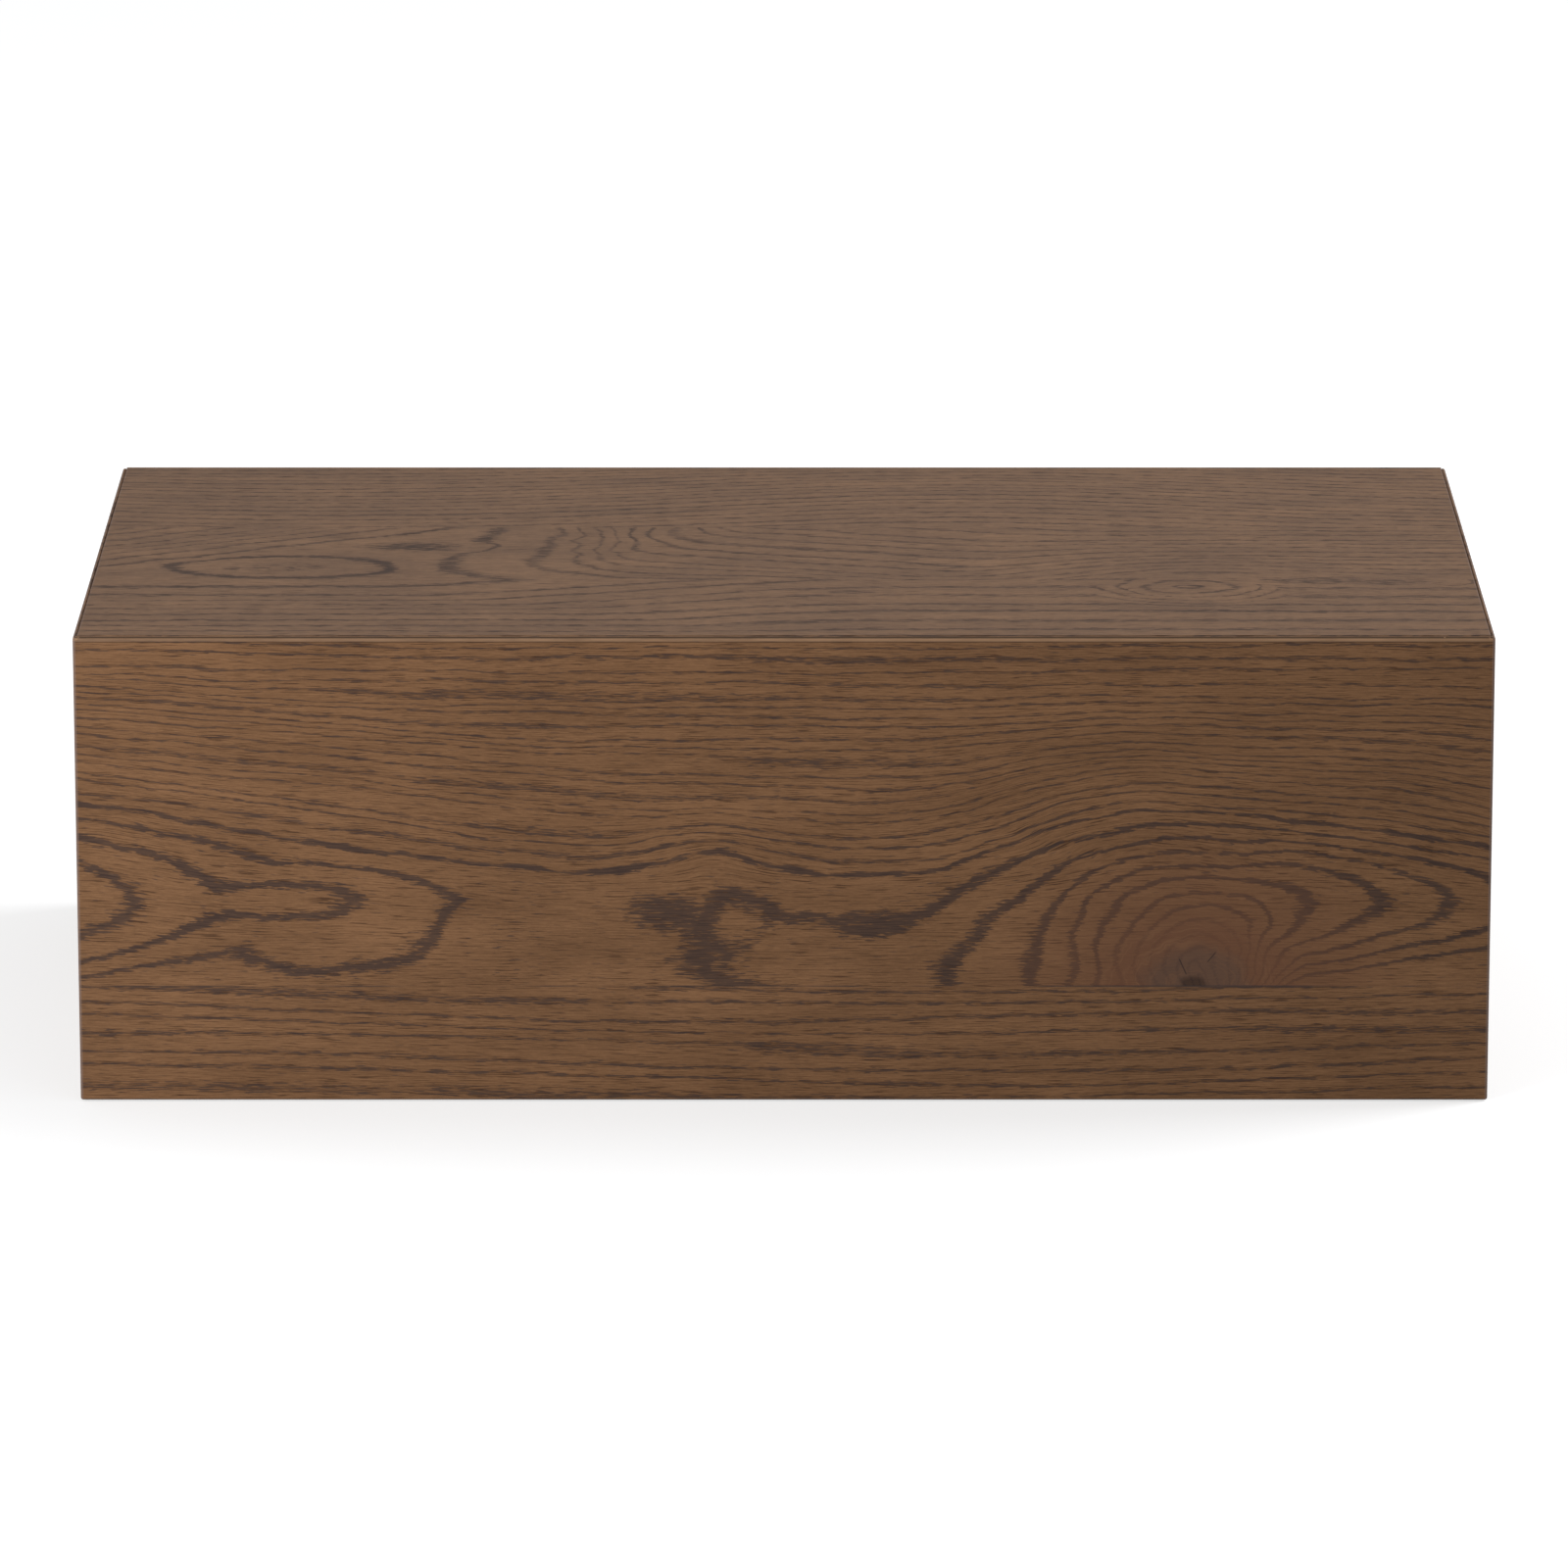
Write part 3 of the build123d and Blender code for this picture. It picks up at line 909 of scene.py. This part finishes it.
# Marks in the veneer: length along the grain, width across it, seed, detail and roughness.
FRAY = Mark(11.0, 1.1, detail=2.0)
PORES = Mark(14.0, 0.9, 3.0, 1.5)
DASHES = Mark(26.0, 0.7, 23.0)
FLECKS = Mark(8.0, 1.1, 17.0)
STREAKS = Mark(45.0, 0.6, 7.0, 3.0, 0.75)
CLOUDS = Mark(120.0, 34.0, 11.0, 2.0)
SILK = Mark(7.0, 1.1, 29.0, 3.0, 0.75)
WAVES_ACROSS = Mark(70.0, 26.0, 41.0, 2.0)
WAVES_ALONG = Mark(50.0, 30.0, 43.0)
FIBRES = Mark(6.0, 0.5, detail=2.0)
WEAR = Mark(30.0, 30.0, 31.0, 2.0)
CHIPS = Mark(3.5, 1.2, 37.0, 2.0)


@dataclass(frozen=True)
class Growth:
    """How the porous band that opens each year's growth shows, in rings."""

    lead: float = 0.2  # how far the band starts before its ring
    fray: float = 0.55  # how far the ring frays along the fibres
    rise: float = 0.13  # where the band has risen to its full strength
    full: float = 0.2  # how far it keeps that strength
    fall: float = 0.42  # where it has faded
    by_year: float = 1.2  # how much its strength differs from year to year
    by_place: float = 1.8  # how much it differs from place to place
    by_crown: float = 0.3  # how much stronger it is at the crown


@dataclass(frozen=True)
class Spot:
    """Where a place lies on a board, in millimetres."""

    along: Wire  # along the grain
    across: Wire  # across the grain
    depth: Wire  # under the outer face
    from_end: Wire  # from the nearer end
    from_edge: Wire  # from the upper edge, or from the nearer long edge of the lid


@dataclass(frozen=True)
class VeneeredBoard:
    """A board of stained oak veneer on both faces of a brown core."""

    node: str
    facing: Facing
    figure: Figure
    seed: float
    stain: OakStain = OakStain()
    leaf: Figure | None = None
    seam: float = 0.0
    leaf_above: bool = False
    knot: KnotHeart | None = None
    core: BoardCore = BoardCore()
    thickness: float = 18.0
    veneer: float = 0.7
    veneer_blur: float = 0.15  # how softly the veneer gives way to the core
    arris: float = 1.8
    strip: float = 3.4  # width of the lighter strip along the upper edge, partly rubbed stain and partly a painted highlight on the rounded arris
    growth: Growth = Growth()
    follow: float = 0.75  # how closely the fibres follow the rings' lift
    shift: float = 24.0  # how far the figure wavers along the grain
    stray: float = 8.0  # how far it wavers across the grain
    leaf_stray: float = 6.0  # the same for the second leaf
    rough: float = 0.58
    gloss: float = 0.05
    relief: float = 0.06  # depth of the open pores
    pore_level: float = 0.65  # value of the pores' pattern from which they open
    dash_level: float = 0.61  # value of the dashes' pattern from which they show
    edge_depth: float = 1.9  # how deep the lighter strip of rubbed stain and painted highlight goes into the edge
    wear_start: float = -480.0  # the strip's wear and painted highlight grow along the board from here
    wear_full: float = -100.0  # to here
    chip_reach: float = 5.0  # reach of the chips at the upper corners

    def _bands(self, bench: Bench, along: Wire, fibre: Wire, rings: Wire) -> tuple[Wire, Wire]:
        """Find the porous band that opens each year's growth.

        Args:
            bench: The material's nodes.
            along: Millimetres along the grain.
            fibre: Widths of fibre across it.
            rings: Ring count.

        Returns:
            How strong the band is, and 1 where the rings lie in straight rows.
        """
        stain = self.stain
        growth = self.growth
        rows = rings.step(0.4, 2.5)
        uneven = bench.noise(rings * 0.45, along / 800, self.seed + 61, 1.0) - 0.5
        rings = rings + uneven * rows * stain.uneven
        frayed = (FRAY.draw(along, fibre, self.seed) - 0.5) * growth.fray
        count = rings + frayed + growth.lead
        phase = bench.math("FRACT", count)
        year = bench.noise(bench.math("FLOOR", count) * 3.7, 0.0, self.seed + 5, 0.0)
        bold = bench.noise(along / 48, rings * 0.6, self.seed + 9, 2.5)
        crown = abs(rings).step(0.9, 0.5) * bold.step(0.42, 0.62)
        strong = year * growth.by_year + bold * growth.by_place + crown * growth.by_crown
        strong = (strong + stain.bold) * (1.0 - rows * stain.calm)
        fading = (phase - crown * 0.2).step(growth.fall, growth.full)
        band = phase.step(0.0, growth.rise) * fading * strong
        return band, rows

    def _grain(self, bench: Bench, along: Wire, across: Wire, rings: Wire,
               lift: Wire) -> tuple[Wire, Wire]:
        """Draw the pores, rings and fibres of the veneer.

        Args:
            bench: The material's nodes.
            along: Millimetres along the grain.
            across: Millimetres across it.
            rings: Ring count.
            lift: How far the fibres lift.

        Returns:
            The colour, and a mask of the open pores.
        """
        stain = self.stain
        fibre = (across - lift * self.follow) / stain.coarse
        band, rows = self._bands(bench, along, fibre, rings)
        pores = PORES.draw(along, fibre, self.seed)
        pore = (pores + band * (0.27 - rows * 0.05) - self.pore_level).step(0.0, 0.08)
        dashes = DASHES.draw(along, fibre, self.seed)
        dash = (dashes + band * 0.06 - self.dash_level).step(0.0, 0.05)
        fleck = FLECKS.draw(along, fibre, self.seed).step(0.68, 0.76)
        tone = (STREAKS.draw(along, fibre, self.seed) * 1.3
                + CLOUDS.draw(along, across, self.seed) * 0.6
                + SILK.draw(along, fibre, self.seed) * 0.7 - 0.84)
        colour = bench.mix(tone.step(0.0, 1.0), stain.mid, stain.pale)
        colour = bench.mix(band * stain.ring_cover * stain.contrast, colour, stain.ring)
        colour = bench.mix(fleck * stain.fleck_cover, colour, stain.fleck)
        colour = bench.mix(dash * stain.dash_cover, colour, stain.dash)
        colour = bench.mix(pore * stain.pore_cover * stain.contrast, colour, stain.pore)
        # Painted light and shade: brighter towards one end of the board, partly the veneer's own
        # tone.
        colour = bench.shade(colour, along * stain.light_and_tone_drift + 1.0)
        return colour, pore

    def _lid_edges(self, bench: Bench, colour: Wire, spot: Spot) -> Wire:
        """Paint the lid's arrises a light grey, a painted highlight on the eased edges, most at
        its ends.

        Args:
            bench: The material's nodes.
            colour: The board's colour.
            spot: Where the place lies on the board.

        Returns:
            The colour with its edges.
        """
        rim = spot.from_end.lower(spot.from_edge + 1.2)
        # Painted highlight along the lid's eased arrises.
        return bench.mix(rim.step(1.6, 0.3) * 0.4, colour, self.core.grey_and_highlight)

    def _case_edges(self, bench: Bench, colour: Wire, spot: Spot) -> Wire:
        """Paint a case board's upper edge lighter, partly rubbed stain and partly a painted
        highlight on its rounded arris, with a glue line under it and, on the front, a painted
        shade line in the joint under the lid; grey its ends and rub its corners.

        Args:
            bench: The material's nodes.
            colour: The board's colour.
            spot: Where the place lies on the board.

        Returns:
            The colour with its edges.
        """
        core = self.core
        top = spot.from_edge
        front = self.facing is Facing.FRONT
        patchy = WEAR.draw(spot.along, spot.across, self.seed)
        chips = CHIPS.draw(spot.along, spot.across, self.seed)
        strip = top.step(self.strip, self.strip - 0.3)
        # The bright line is a painted highlight where the rounded arris faces the light, made
        # patchy and growing along the board like wear.
        bright = top.step(0.4, 1.9) * top.step(self.strip, self.strip - 1.4)
        worn_and_highlight = spot.along.step(self.wear_start, self.wear_full) * 0.6 + 0.4
        bright = bright * (patchy * 0.7 + 0.3) * worn_and_highlight
        tan = bench.mix(bright, core.tan, core.worn_and_highlight)
        if not front:
            tan = bench.mix(0.75, tan, core.grey_and_highlight)
        shallow = spot.depth.step(self.edge_depth, self.edge_depth - 0.7)
        colour = bench.mix(strip * shallow * (patchy * 0.5 + 0.5), colour, tan)
        # A dark glue line under the strip.
        line = top.step(self.strip + 0.8, self.strip + 0.4)
        line = line * top.step(self.strip - 0.1, self.strip + 0.1)
        line = line * spot.depth.step(0.3, 0.1) * 0.55
        # On the front, a painted shade line along the top of the arris, where the joint under the
        # lid lies in shade.
        if front:
            line = line.higher(top.step(0.1, 0.25) * top.step(1.0, 0.75) * 0.75)
        colour = bench.mix(line, colour, core.glue_and_gap_shade)
        ends = spot.from_end.step(self.arris * 0.95, self.arris * 0.5)
        colour = bench.mix(ends * 0.6, colour, core.grey_and_highlight)
        rounded = (spot.depth + top).step(self.arris * 1.02, self.arris * 0.9)
        corner = bench.reach(spot.from_end, top).step(self.chip_reach, self.chip_reach - 3.0)
        corner = corner * chips.step(0.45, 0.6)
        rubbed = corner.higher(ends.higher(strip) * chips.step(0.72, 0.78) * 0.5)
        return bench.mix(rubbed * rounded.higher(corner), colour, core.worn_and_highlight)

    def _edges(self, bench: Bench, colour: Wire, place: Place, low: Vector,
               high: Vector) -> Wire:
        """Show the board's core, and the rubbed stain, painted highlights and painted shade on its
        edges.

        Args:
            bench: The material's nodes.
            colour: The veneer's colour.
            place: X, Y and Z in millimetres.
            low: The board's lowest corner in millimetres.
            high: The board's highest corner.

        Returns:
            The colour with its edges.
        """
        run, cross, through, sign = self.facing.value
        outer = high[through] if sign > 0 else low[through]
        depth = (outer - place[through]) * sign
        from_end = (place[run] - low[run]).lower(high[run] - place[run])
        from_edge = high[cross] - place[cross]
        speck = bench.noise(place[0] / 0.8, place[1] / 0.8, place[2] / 0.8, 2.0)
        board = bench.mix(speck.step(0.35, 0.7), self.core.board, self.core.speck)
        inner = self.thickness - self.veneer
        inside = depth.step(self.veneer, self.veneer + self.veneer_blur)
        inside = inside * depth.step(inner, inner - self.veneer_blur)
        if self.facing is Facing.TOP:
            wear = self._lid_edges
            from_edge = (place[cross] - low[cross]).lower(from_edge)
        else:
            wear = self._case_edges
            inside = inside * depth.lower(from_edge).step(self.arris, self.arris + 0.2)
        spot = Spot(place[run], place[cross], depth, from_end, from_edge)
        return wear(bench, bench.mix(inside, colour, board), spot)

    def _leaves(self, along: Wire, across: Wire) -> tuple[Wire, Wire, Number]:
        """Lay the board's one or two leaves of veneer.

        Args:
            along: Millimetres along the grain.
            across: Millimetres across it.

        Returns:
            The ring count, how far the fibres lift in millimetres, and 1 on the main leaf.
        """
        stray = WAVES_ACROSS.draw(along, across, self.seed) - 0.5
        shift = WAVES_ALONG.draw(along, across, self.seed) - 0.5
        rings, lift = self.figure.draw(along + shift * self.shift, across + stray * self.stray)
        if not self.leaf:
            return rings, lift, 1.0
        main = across.step(self.seam - 0.1, self.seam + 0.1)
        if self.leaf_above:
            main = 1.0 - main
        rows, sag = self.leaf.draw(along, across + stray * self.leaf_stray)
        other = 1.0 - main
        return rings * main + rows * other, lift * main + sag * other, main

    def _seam(self, bench: Bench, colour: Wire, along: Wire, across: Wire) -> Wire:
        """Darken the joint between the leaves, which is open beside the knot.

        Args:
            bench: The material's nodes.
            colour: The veneer's colour.
            along: Millimetres along the grain.
            across: Millimetres across it.

        Returns:
            The colour with the joint.
        """
        near = abs(across - self.seam)
        broken = bench.noise(along / 60, 0.5, self.seed + 57, 2.0).step(0.38, 0.6)
        beside = abs(along - self.knot.along).step(110.0, 60.0)
        joint = (near.step(0.8, 0.3) * broken).higher(beside * near.step(1.0, 0.4))
        return bench.mix(joint * 0.6, colour, self.stain.pore)

    def make(self) -> bpy.types.Material:
        """Make the board's material from its place in the frame.

        Returns:
            The material.
        """
        low, high = (Vector(corner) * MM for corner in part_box(self.node))
        run, cross, _, _ = self.facing.value
        bench = Bench.of_material(f"{self.node}_veneer")
        place = bench.place()
        along, across = place[run], place[cross]
        rings, lift, main = self._leaves(along, across)
        colour, pore = self._grain(bench, along, across, rings, lift)
        if self.knot:
            away = self.knot.reach(bench, along, across, self.seed)
            colour = self.knot.paint(bench, colour, along, across, away, main, self.seed)
            colour = self._seam(bench, colour, along, across)
        colour = self._edges(bench, colour, place, low, high)
        fibres = FIBRES.draw(along, across, self.seed)
        surface = bench.relief(1.0 - pore + fibres * 0.2, self.relief)
        return bench.close(colour, self.rough + pore * 0.2, surface, gloss=self.gloss)


@dataclass(frozen=True)
class PlainTimber:
    """Unstained wood for the parts inside: softwood strips and the plywood floor."""

    name: str
    pale: Rgba
    dark: Rgba
    ply: Rgba
    ring_pitch: float
    plies: int = 0
    outer_ply: float = 0.7  # thickness of the plies on the two faces
    wander: float = 26.0  # how far the rings waver
    heart_across: float = 22.0  # how far the tree's heart lies beside the piece
    heart_below: float = 34.0  # how far it lies below

    def make(self, node: str, seed: float) -> bpy.types.Material:
        """Make the finish for one solid, with the grain along its longest side.

        Args:
            node: The solid.
            seed: Which stretch of the timber it is.

        Returns:
            The material.
        """
        low, high = (Vector(corner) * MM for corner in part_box(node))
        size = high - low
        run, cross, through = sorted(range(3), key=lambda axis: -size[axis])
        bench = Bench.of_material(f"{node}_{self.name}")
        place = bench.place()
        along, across, deep = place[run], place[cross], place[through]
        wander = bench.noise(along / 180, across / 60, seed, 2.0) * self.wander
        heart = bench.reach(across - low[cross] + self.heart_across + wander,
                            deep - low[through] + self.heart_below)
        rings = heart / self.ring_pitch + bench.noise(along / 40, across / 6, seed, 2.0) * 0.4
        phase = bench.math("FRACT", rings)
        late = phase.step(0.25, 0.85) * phase.step(1.0, 0.93)
        fibre = bench.noise(along / 24, across / 0.5, deep / 0.5 + seed, 3.0, 0.6)
        cloud = bench.noise(along / 90, across / 30, deep / 30 + seed, 2.0)
        tone = late * 0.5 + fibre * 0.5 + cloud * 0.4 - 0.35
        colour = bench.mix(tone.higher(0.0), self.pale, self.dark)
        if self.plies:
            layer = bench.math("FRACT", (deep - low[through]) / size[through] * (self.plies / 2))
            edge = layer.step(0.48, 0.52)
            skin = (deep - low[through]).lower(high[through] - deep)
            inner = skin.step(self.outer_ply, self.outer_ply + 0.3)
            colour = bench.mix(edge * inner * 0.7, colour, self.ply)
        rough = fibre * 0.15 + 0.6
        return bench.close(colour, rough, bench.relief(fibre, 0.04), gloss=0.25)


@dataclass(frozen=True)
class PlatedSteel:
    """Plated steel of the fittings, with a faint brushed grain and dull patches."""

    name: str
    bright: Rgba = srgb(205, 203, 198)
    dull: Rgba = srgb(158, 156, 152)
    rough: float = 0.28
    grain: float = 0.3

    def make(self) -> bpy.types.Material:
        """Make the finish.

        Returns:
            The material.
        """
        bench = Bench.of_material(self.name)
        x, y, z = bench.place()
        brushed = bench.noise(x / 6, y / self.grain, z / self.grain, 2.0)
        cloud = bench.noise(x / 12, y / 12, z / 12, 3.0)
        speck = bench.noise(x / 0.9, y / 0.9, z / 0.9, 1.0).step(0.68, 0.8)
        tone = cloud * 0.8 + brushed * 0.35 - 0.15
        colour = bench.mix(tone, self.bright, self.dull)
        colour = bench.mix(speck * 0.35, colour, self.dull)
        rough = cloud * 0.18 + brushed * 0.1 + self.rough - 0.1
        return bench.close(colour, rough, bench.relief(brushed, 0.012), metal=1.0)


@dataclass(frozen=True)
class Moulding:
    """Moulded plastic or rubber with a fine skin."""

    name: str
    colour: Rgba
    rubbed: Rgba
    rough: float
    skin: float

    def make(self) -> bpy.types.Material:
        """Make the finish.

        Returns:
            The material.
        """
        bench = Bench.of_material(self.name)
        x, y, z = bench.place()
        fine = bench.noise(x / self.skin, y / self.skin, z / self.skin, 2.0)
        cloud = bench.noise(x / 7, y / 7, z / 7, 2.0)
        tone = cloud * 0.9 + fine * 0.3 - 0.25
        colour = bench.mix(tone, self.colour, self.rubbed)
        rough = cloud * 0.2 + self.rough
        return bench.close(colour, rough, bench.relief(fine, 0.03), gloss=0.4)


SOFTWOOD = PlainTimber("softwood", srgb(222, 190, 146), srgb(190, 148, 102),
                       srgb(150, 110, 76), 3.4)
PLYWOOD = PlainTimber("plywood", srgb(214, 184, 144), srgb(190, 154, 112),
                      srgb(138, 100, 70), 9.0, 5)
HINGE_STEEL = PlatedSteel("hinge_nickel")
STAY_STEEL = PlatedSteel("stay_zinc", srgb(190, 192, 194), srgb(146, 148, 152), 0.34)
SCREW_STEEL = PlatedSteel("screw_zinc", srgb(202, 200, 188), srgb(150, 146, 132), 0.3, 0.2)
GLIDE_STEEL = PlatedSteel("glide_nickel", srgb(196, 194, 190), srgb(140, 138, 134), 0.3, 0.4)
CAP_NYLON = Moulding("cap_nylon", srgb(40, 40, 42), srgb(62, 62, 64), 0.36, 0.5)
BUMPER_RUBBER = Moulding("bumper_rubber", srgb(58, 54, 50), srgb(84, 80, 74), 0.6, 0.4)


class Dresser:
    """Puts finishes on the frame's solids, and says so."""

    def __init__(self, frame: dict) -> None:
        """Keep the frame's solids."""
        self.solids = frame["nodes"]

    def dress(self, material: bpy.types.Material, *nodes: str) -> None:
        """Put one material on some solids.

        Args:
            material: The material.
            nodes: The solids' names.
        """
        for node in nodes:
            self.solids[node].material_slots[0].material = material
            LOG.info("%s wears %s", node, material.name)


@dataclass(frozen=True)
class Case:
    """The four mitred boards, their joints, the floor and what stands under it."""

    boards: tuple[VeneeredBoard, ...] = (
        VeneeredBoard("front_panel", Facing.FRONT, FRONT_FIGURE, 1.0,
                      OakStain(light_and_tone_drift=-0.00024), FRONT_LEAF, FRONT_SEAM, knot=KnotHeart()),
        VeneeredBoard("back_panel", Facing.BACK, BACK_FIGURE, 21.0),
        VeneeredBoard("left_side_panel", Facing.LEFT, SIDE_FIGURE, 41.0),
        VeneeredBoard("right_side_panel", Facing.RIGHT, SIDE_FIGURE, 61.0))
    corners: tuple[str, ...] = ("front_left", "front_right", "back_left", "back_right")
    corner_parts: tuple[str, ...] = ("spline", "corner_block")
    bearers: tuple[str, ...] = ("left_bearer", "centre_bearer", "right_bearer")

    def dress(self, dresser: Dresser) -> None:
        """Dress every solid of the case.

        Args:
            dresser: What puts the finishes on.
        """
        for board in self.boards:
            dresser.dress(board.make(), board.node)
        joints = [f"{corner}_{part}" for corner in self.corners for part in self.corner_parts]
        for count, node in enumerate((*self.bearers, *joints)):
            dresser.dress(SOFTWOOD.make(node, count * SEED_STEP), node)
        dresser.dress(PLYWOOD.make("base_panel", 3.0), "base_panel")
        dresser.dress(BUMPER_RUBBER.make(), "lid_bumpers")
        dresser.dress(GLIDE_STEEL.make(), "front_glides", "back_glides")


@dataclass(frozen=True)
class Lid:
    """The lid board and the two battens that keep it flat."""

    board: VeneeredBoard = VeneeredBoard("lid_panel", Facing.TOP, TOP_FIGURE, 81.0,
                                         LID_STAIN_AND_SHEEN, TOP_LEAF, TOP_SEAM, True)
    battens: tuple[str, ...] = ("left_lid_batten", "right_lid_batten")
    batten_seed: float = 90.0

    def dress(self, dresser: Dresser) -> None:
        """Dress the lid.

        Args:
            dresser: What puts the finishes on.
        """
        dresser.dress(self.board.make(), self.board.node)
        for count, node in enumerate(self.battens):
            dresser.dress(SOFTWOOD.make(node, self.batten_seed + count * SEED_STEP), node)


@dataclass(frozen=True)
class Fittings:
    """Hinges, lid stays and screws."""

    hinges: tuple[str, ...] = ("left", "centre", "right")
    hinge_parts: tuple[str, ...] = ("hinge_case_leaf", "hinge_lid_leaf", "hinge_pin")
    stays: tuple[str, ...] = ("left", "right")
    stay_parts: tuple[str, ...] = ("stay_arm", "stay_post", "stay_wall_plate", "stay_rivet",
                                   "stay_lid_bracket")
    screws: tuple[str, ...] = ("batten_screws", "case_hinge_screws", "lid_hinge_screws",
                               "wall_plate_screws", "lid_bracket_screws")

    def dress(self, dresser: Dresser) -> None:
        """Dress the fittings.

        Args:
            dresser: What puts the finishes on.
        """
        dresser.dress(HINGE_STEEL.make(),
                      *(f"{side}_{part}" for side in self.hinges for part in self.hinge_parts))
        dresser.dress(STAY_STEEL.make(),
                      *(f"{side}_{part}" for side in self.stays for part in self.stay_parts))
        dresser.dress(CAP_NYLON.make(), *(f"{side}_stay_cap" for side in self.stays))
        dresser.dress(SCREW_STEEL.make(), *self.screws)


@dataclass(frozen=True)
class Lamp:
    """A square soft lamp, in metres and watts."""

    name: str
    place: Point
    target: Point
    size: float
    power: float

    def hang(self) -> None:
        """Hang the lamp and turn it to its target."""
        light = bpy.data.lights.new(self.name, "AREA")
        light.size = self.size
        light.energy = self.power
        lamp = bpy.data.objects.new(self.name, light)
        bpy.context.scene.collection.objects.link(lamp)
        lamp.location = self.place
        aim = Vector(self.target) - Vector(self.place)
        lamp.rotation_euler = aim.to_track_quat("-Z", "Y").to_euler()


@dataclass(frozen=True)
class Studio:
    """A plain white studio: floor, sky, lamps and the camera, in metres and degrees."""

    floor_side: float = 30.0
    floor_paint: Rgba = (0.611, 0.621, 0.630, 1.0)
    floor_glow: float = 0.57  # what the viewer sees in the floor on top of its lit colour
    glow_beyond_painted_shadow: float = 0.115  # what comes on top of that away from the chest, so that the floor near it is darker as a painted shadow
    painted_shadow_middle: float = 0.15  # how far behind the chest the painted shadow, a darker patch of floor, has its middle
    painted_shadow_side: float = 1.1  # the patch's reach to each side
    painted_shadow_depth: float = 0.9  # its reach to the front and back
    sky_light: float = 0.42
    lamps: tuple[Lamp, ...] = (
        Lamp("left_lamp", (-2.3, -2.6, 0.9), (0.0, -0.27, 0.17), 1.4, 78.0),
        Lamp("right_lamp", (2.9, 0.9, 2.5), (0.0, 0.0, 0.2), 1.8, 76.0))
    aim_height: float = 0.162  # where the middle of the view crosses the chest's middle
    camera_distance: float = 7.25
    camera_pitch: float = 14.3
    camera_lens: float = 226.7  # in millimetres, as is the width of the camera's sensor
    sensor_width: float = 36.0
    camera_range: float = 100.0

    def floor(self) -> None:
        """Lay the white floor, which keeps the chest's shadow; its glow is weaker round the chest,
        as a painted soft shadow.
        """
        bpy.ops.mesh.primitive_plane_add(size=self.floor_side, location=(0.0, 0.0, 0.0))
        floor = bpy.context.object
        floor.name = "studio_floor"
        bench = Bench.of_material("studio_floor")
        paint = bench.node("ShaderNodeBsdfDiffuse")
        paint.inputs["Color"].default_value = self.floor_paint
        glow = bench.node("ShaderNodeEmission")
        x, y, _ = bench.place()
        # Painted shadow: the glow is weaker within this patch round the chest.
        far = bench.reach(x / (self.painted_shadow_side * MM),
                          (y - self.painted_shadow_middle * MM) / (self.painted_shadow_depth * MM)).step(0.6, 1.1)
        strength = bench.seen() * (far * self.glow_beyond_painted_shadow + self.floor_glow)
        bench.plug(glow.inputs["Strength"], strength)
        both = bench.node("ShaderNodeAddShader")
        bench.tree.links.new(paint.outputs[0], both.inputs[0])
        bench.tree.links.new(glow.outputs[0], both.inputs[1])
        bench.end("ShaderNodeOutputMaterial", both)
        floor.data.materials.append(bench.owner)

    def sky(self) -> None:
        """Light the scene evenly, with a white background behind it."""
        bench = Bench(bpy.data.worlds.new("studio_sky"))
        back = bench.node("ShaderNodeBackground")
        back.inputs["Color"].default_value = WHITE
        strength = bench.seen() * (1.0 - self.sky_light) + self.sky_light
        bench.plug(back.inputs["Strength"], strength)
        bench.end("ShaderNodeOutputWorld", back)
        bpy.context.scene.world = bench.owner

    def camera(self) -> None:
        """Set up the camera in front of the chest, looking down on it."""
        lens = bpy.data.cameras.new("camera")
        lens.lens = self.camera_lens
        lens.sensor_width = self.sensor_width
        lens.clip_end = self.camera_range
        camera = bpy.data.objects.new("camera", lens)
        bpy.context.scene.collection.objects.link(camera)
        pitch = math.radians(self.camera_pitch)
        camera.location = (0.0, -self.camera_distance * math.cos(pitch),
                           self.aim_height + self.camera_distance * math.sin(pitch))
        camera.rotation_euler = (math.pi / 2 - pitch, 0.0, 0.0)
        bpy.context.scene.camera = camera

    def make(self) -> None:
        """Build the studio."""
        self.camera()
        self.floor()
        self.sky()
        for lamp in self.lamps:
            lamp.hang()
        bpy.context.scene.view_settings.view_transform = "Standard"
        LOG.info("studio built")


def main() -> None:
    """Dress the chest and set it in the studio."""
    logging.basicConfig(level=logging.INFO, format="%(name)s: %(message)s")
    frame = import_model()
    dresser = Dresser(frame)
    Case().dress(dresser)
    Lid().dress(dresser)
    Fittings().dress(dresser)
    Studio().make()
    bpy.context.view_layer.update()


if __name__ == "__main__":
    main()
